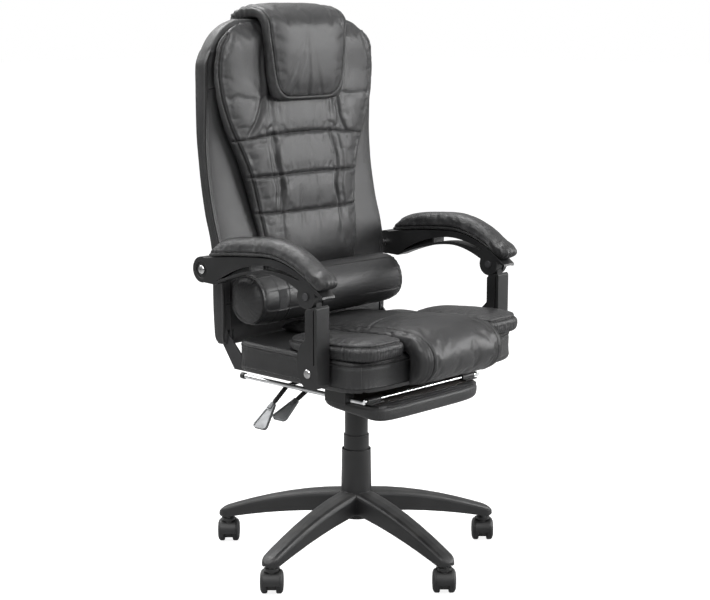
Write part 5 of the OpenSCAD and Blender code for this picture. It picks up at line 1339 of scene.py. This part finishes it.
fold = -0.0016 * bump_at(crease, 0.004) + 0.0010 * bump_at(crease + 0.011, 0.007)
move += on_top * fold * bump_at(co[:, 0] + 0.01, 0.07)
move += shown * 0.0006 * gathers(run, side, 0.017, 0.016, 157) * (1 - 0.6 * front)
slack = 0.0012 * wrinkles(co, (0.085, 0.075, 0.085), 163) * np.clip(nrm[:, 2], 0, 1) * (1 - front)
move += slack * (side < -0.006) + 0.0008 * soft_noise(co, (0.13, 0.06, 0.06), 167) - 0.0006
sewing.sew(centre, nrm, move)
upholster(centre, "seat", ["centre_cushion"], cover_leather)

# %% [markdown]
# ## Arm pads
# The pads follow the arm frames and roll over their front ends. A seam runs along each
# side, close above the frame, and the cover is gathered where it turns round the nose.
# Both are alike, so one is made on the middle line, moved onto its arm and mirrored.

# %% Arm pads
CREST_Y, CREST_Z, NOSE_FALL = -0.042, 0.693, 0.129
ARM_X, ARM_REAR, ARM_LONG, ARM_THICK = 0.2795, 0.141, 0.344, 0.036


def arm_top(y):
    y = np.asarray(y, float)
    rear = CREST_Z - 0.019 * (np.maximum(y - CREST_Y, 0) / 0.199) ** 1.5
    return rear - 0.045 * (np.maximum(CREST_Y - y, 0) / NOSE_FALL) ** 1.9


PAD_LINES = [
    (0.03, 0.45), (0.1, 0.8), (0.18, 0.95), (0.26, 1), (0.34, 1), (0.42, 1), (0.5, 1.02), (0.56, 1.03),
    (0.62, 1.03), (0.68, 1.04), (0.74, 1.04), (0.79, 1.04), (0.84, 1.02), (0.88, 0.97), (0.915, 0.88),
    (0.95, 0.72), (0.98, 0.46), (1, 0.16),
]
arm_inner, arm_outer = [], []
for s, h in PAD_LINES:
    y_in, y_out = ARM_REAR - ARM_LONG * s * 0.93, ARM_REAR - ARM_LONG * s
    arm_inner.append((y_in, float(arm_top(y_in)) + 0.0003))
    z_out = float(arm_top(max(y_out, CREST_Y - NOSE_FALL))) + ARM_THICK * h
    arm_outer.append((y_out - (0.007 * h if s > 0.9 else 0), z_out))
ARM_NARROW = [(0, 0.86), (0.05, 0.95), (0.2, 1), (0.85, 1), (0.95, 0.93), (1, 0.78)]
ARM_SWELL = [(0, 0.7), (0.04, 1), (0.97, 1), (1, 0.8)]
lines = arm_inner, arm_outer
rest = strip_cushion("arm_pad_cover", lines, 0.0255, ARM_NARROW, ARM_SWELL, (0.42, 0.7), 0.04, 150, 80, 0.8)
even_net(rest, 0.0035)
co, nrm = points_of(rest), normals_of(rest)
low = (nrm[:, 2] < -0.35) | (co[:, 2] < arm_top(co[:, 1]) + 0.003)
fill_out(rest, low, pressure=5.0, cap=0.0035)
refine(rest)
co, nrm = points_of(rest), normals_of(rest)
above = co[:, 2] - arm_top(np.maximum(co[:, 1], -0.190)) - 0.0105
nose = np.clip((-0.150 - co[:, 1]) / 0.03, 0, 1)
seam_off = above * (1 - nose) + nose * 0.05
sewing = SeamMap(co)
sewing.put(seam_off, co[:, 1], np.abs(nrm[:, 0]) > 0.3, 2)
side_on = np.clip(np.abs(nrm[:, 0]) * 2, 0, 1)
move = side_on * groove(seam_off, 0.0014, 0.0018, 0.0007, 0.0045, 0.0024)
move += side_on * 0.0005 * gathers(co[:, 1], seam_off, 0.015, 0.012, 173)
ripple = np.sin(2 * np.pi * co[:, 0] / 0.0085 + soft_noise(co, 0.02, 179))
move += nose * 0.0007 * ripple * (nrm[:, 2] < 0.4)
move += 0.0004 * soft_noise(co, (0.03, 0.07, 0.03), 181) - 0.0002
sewing.sew(rest, nrm, move)
put_points(rest, points_of(rest) + [ARM_X, 0, 0])
rest_right = mirrored(rest, "arm_pad_cover_right")
upholster(rest, "arm_left", ["arm_pad_left"], pad_leather)
upholster(rest_right, "arm_right", ["arm_pad_right"], pad_leather)

# %% [markdown]
# ## Footrest pad
# The pad is a firm tray of foam over its board, with rounded corners and a hem that is
# tacked to the board. It stays hollow above, where the board and its hinges show. Its
# profile turns over the rim and back inside, so that one loft makes it all.

# %% Footrest pad
TRAY_A, TRAY_B, TRAY_Y, TRAY_Z = 0.163, 0.0875, -0.1325, 0.400
foot_profile = [
    (0.97, 0.0), (0.6, 0.0), (0.42, 0.0), (0.2, 0.02), (0.07, 0.09), (0.012, 0.28), (0, 0.6),
    (0.02, 0.85), (0.06, 0.96), (0.1, 1.0), (0.155, 1.0), (0.163, 0.97), (0.163, 0.79), (0.2, 0.785),
    (0.97, 0.785),
]
rings = []
for share, level in even_line(foot_profile, 130):
    plan = superellipse(TRAY_A - TRAY_B * share, TRAY_B * (1 - share), 7, 420)
    low = TRAY_Z - 0.040 + 0.016 * (plan[:, 1] + TRAY_B) / (2 * TRAY_B)
    rings.append(np.column_stack([plan + [0, TRAY_Y], low + (TRAY_Z - low) * level]))
foot = skin_object("foot_pad_cover", rings)
co, nrm = points_of(foot), normals_of(foot)
outer = np.maximum(np.abs(co[:, 0]) / TRAY_A, np.abs(co[:, 1] - TRAY_Y) / TRAY_B) > 0.93
wall = (np.hypot(nrm[:, 0], nrm[:, 1]) > 0.45) & outer
on_side = np.abs(nrm[:, 0]) > np.abs(nrm[:, 1])
along = np.where(on_side, co[:, 1] * np.sign(co[:, 0]), 0.5 + co[:, 0] * np.sign(TRAY_Y - co[:, 1]))
hem = co[:, 2] - (TRAY_Z - 0.006)
sewing = SeamMap(co)
sewing.put(hem, along, wall, 2)
under = (nrm[:, 2] < -0.5) & (co[:, 2] < 0.39)
move = -0.0010 * bump_at(hem, 0.0018) + 0.0006 * bump_at(hem + 0.0045, 0.0022)
move += 0.0003 * gathers(along, hem, 0.012, 0.012, 191)
move += 0.0006 * wrinkles(on_line(along, co[:, 2] * 2), 0.05, 193)
sewing.sew(foot, nrm, wall * move + under * 0.0010 * soft_noise(co, 0.06, 197) - 0.0004 * (wall | under))
upholster(foot, "footrest", ["foot_pad"], shell_leather)
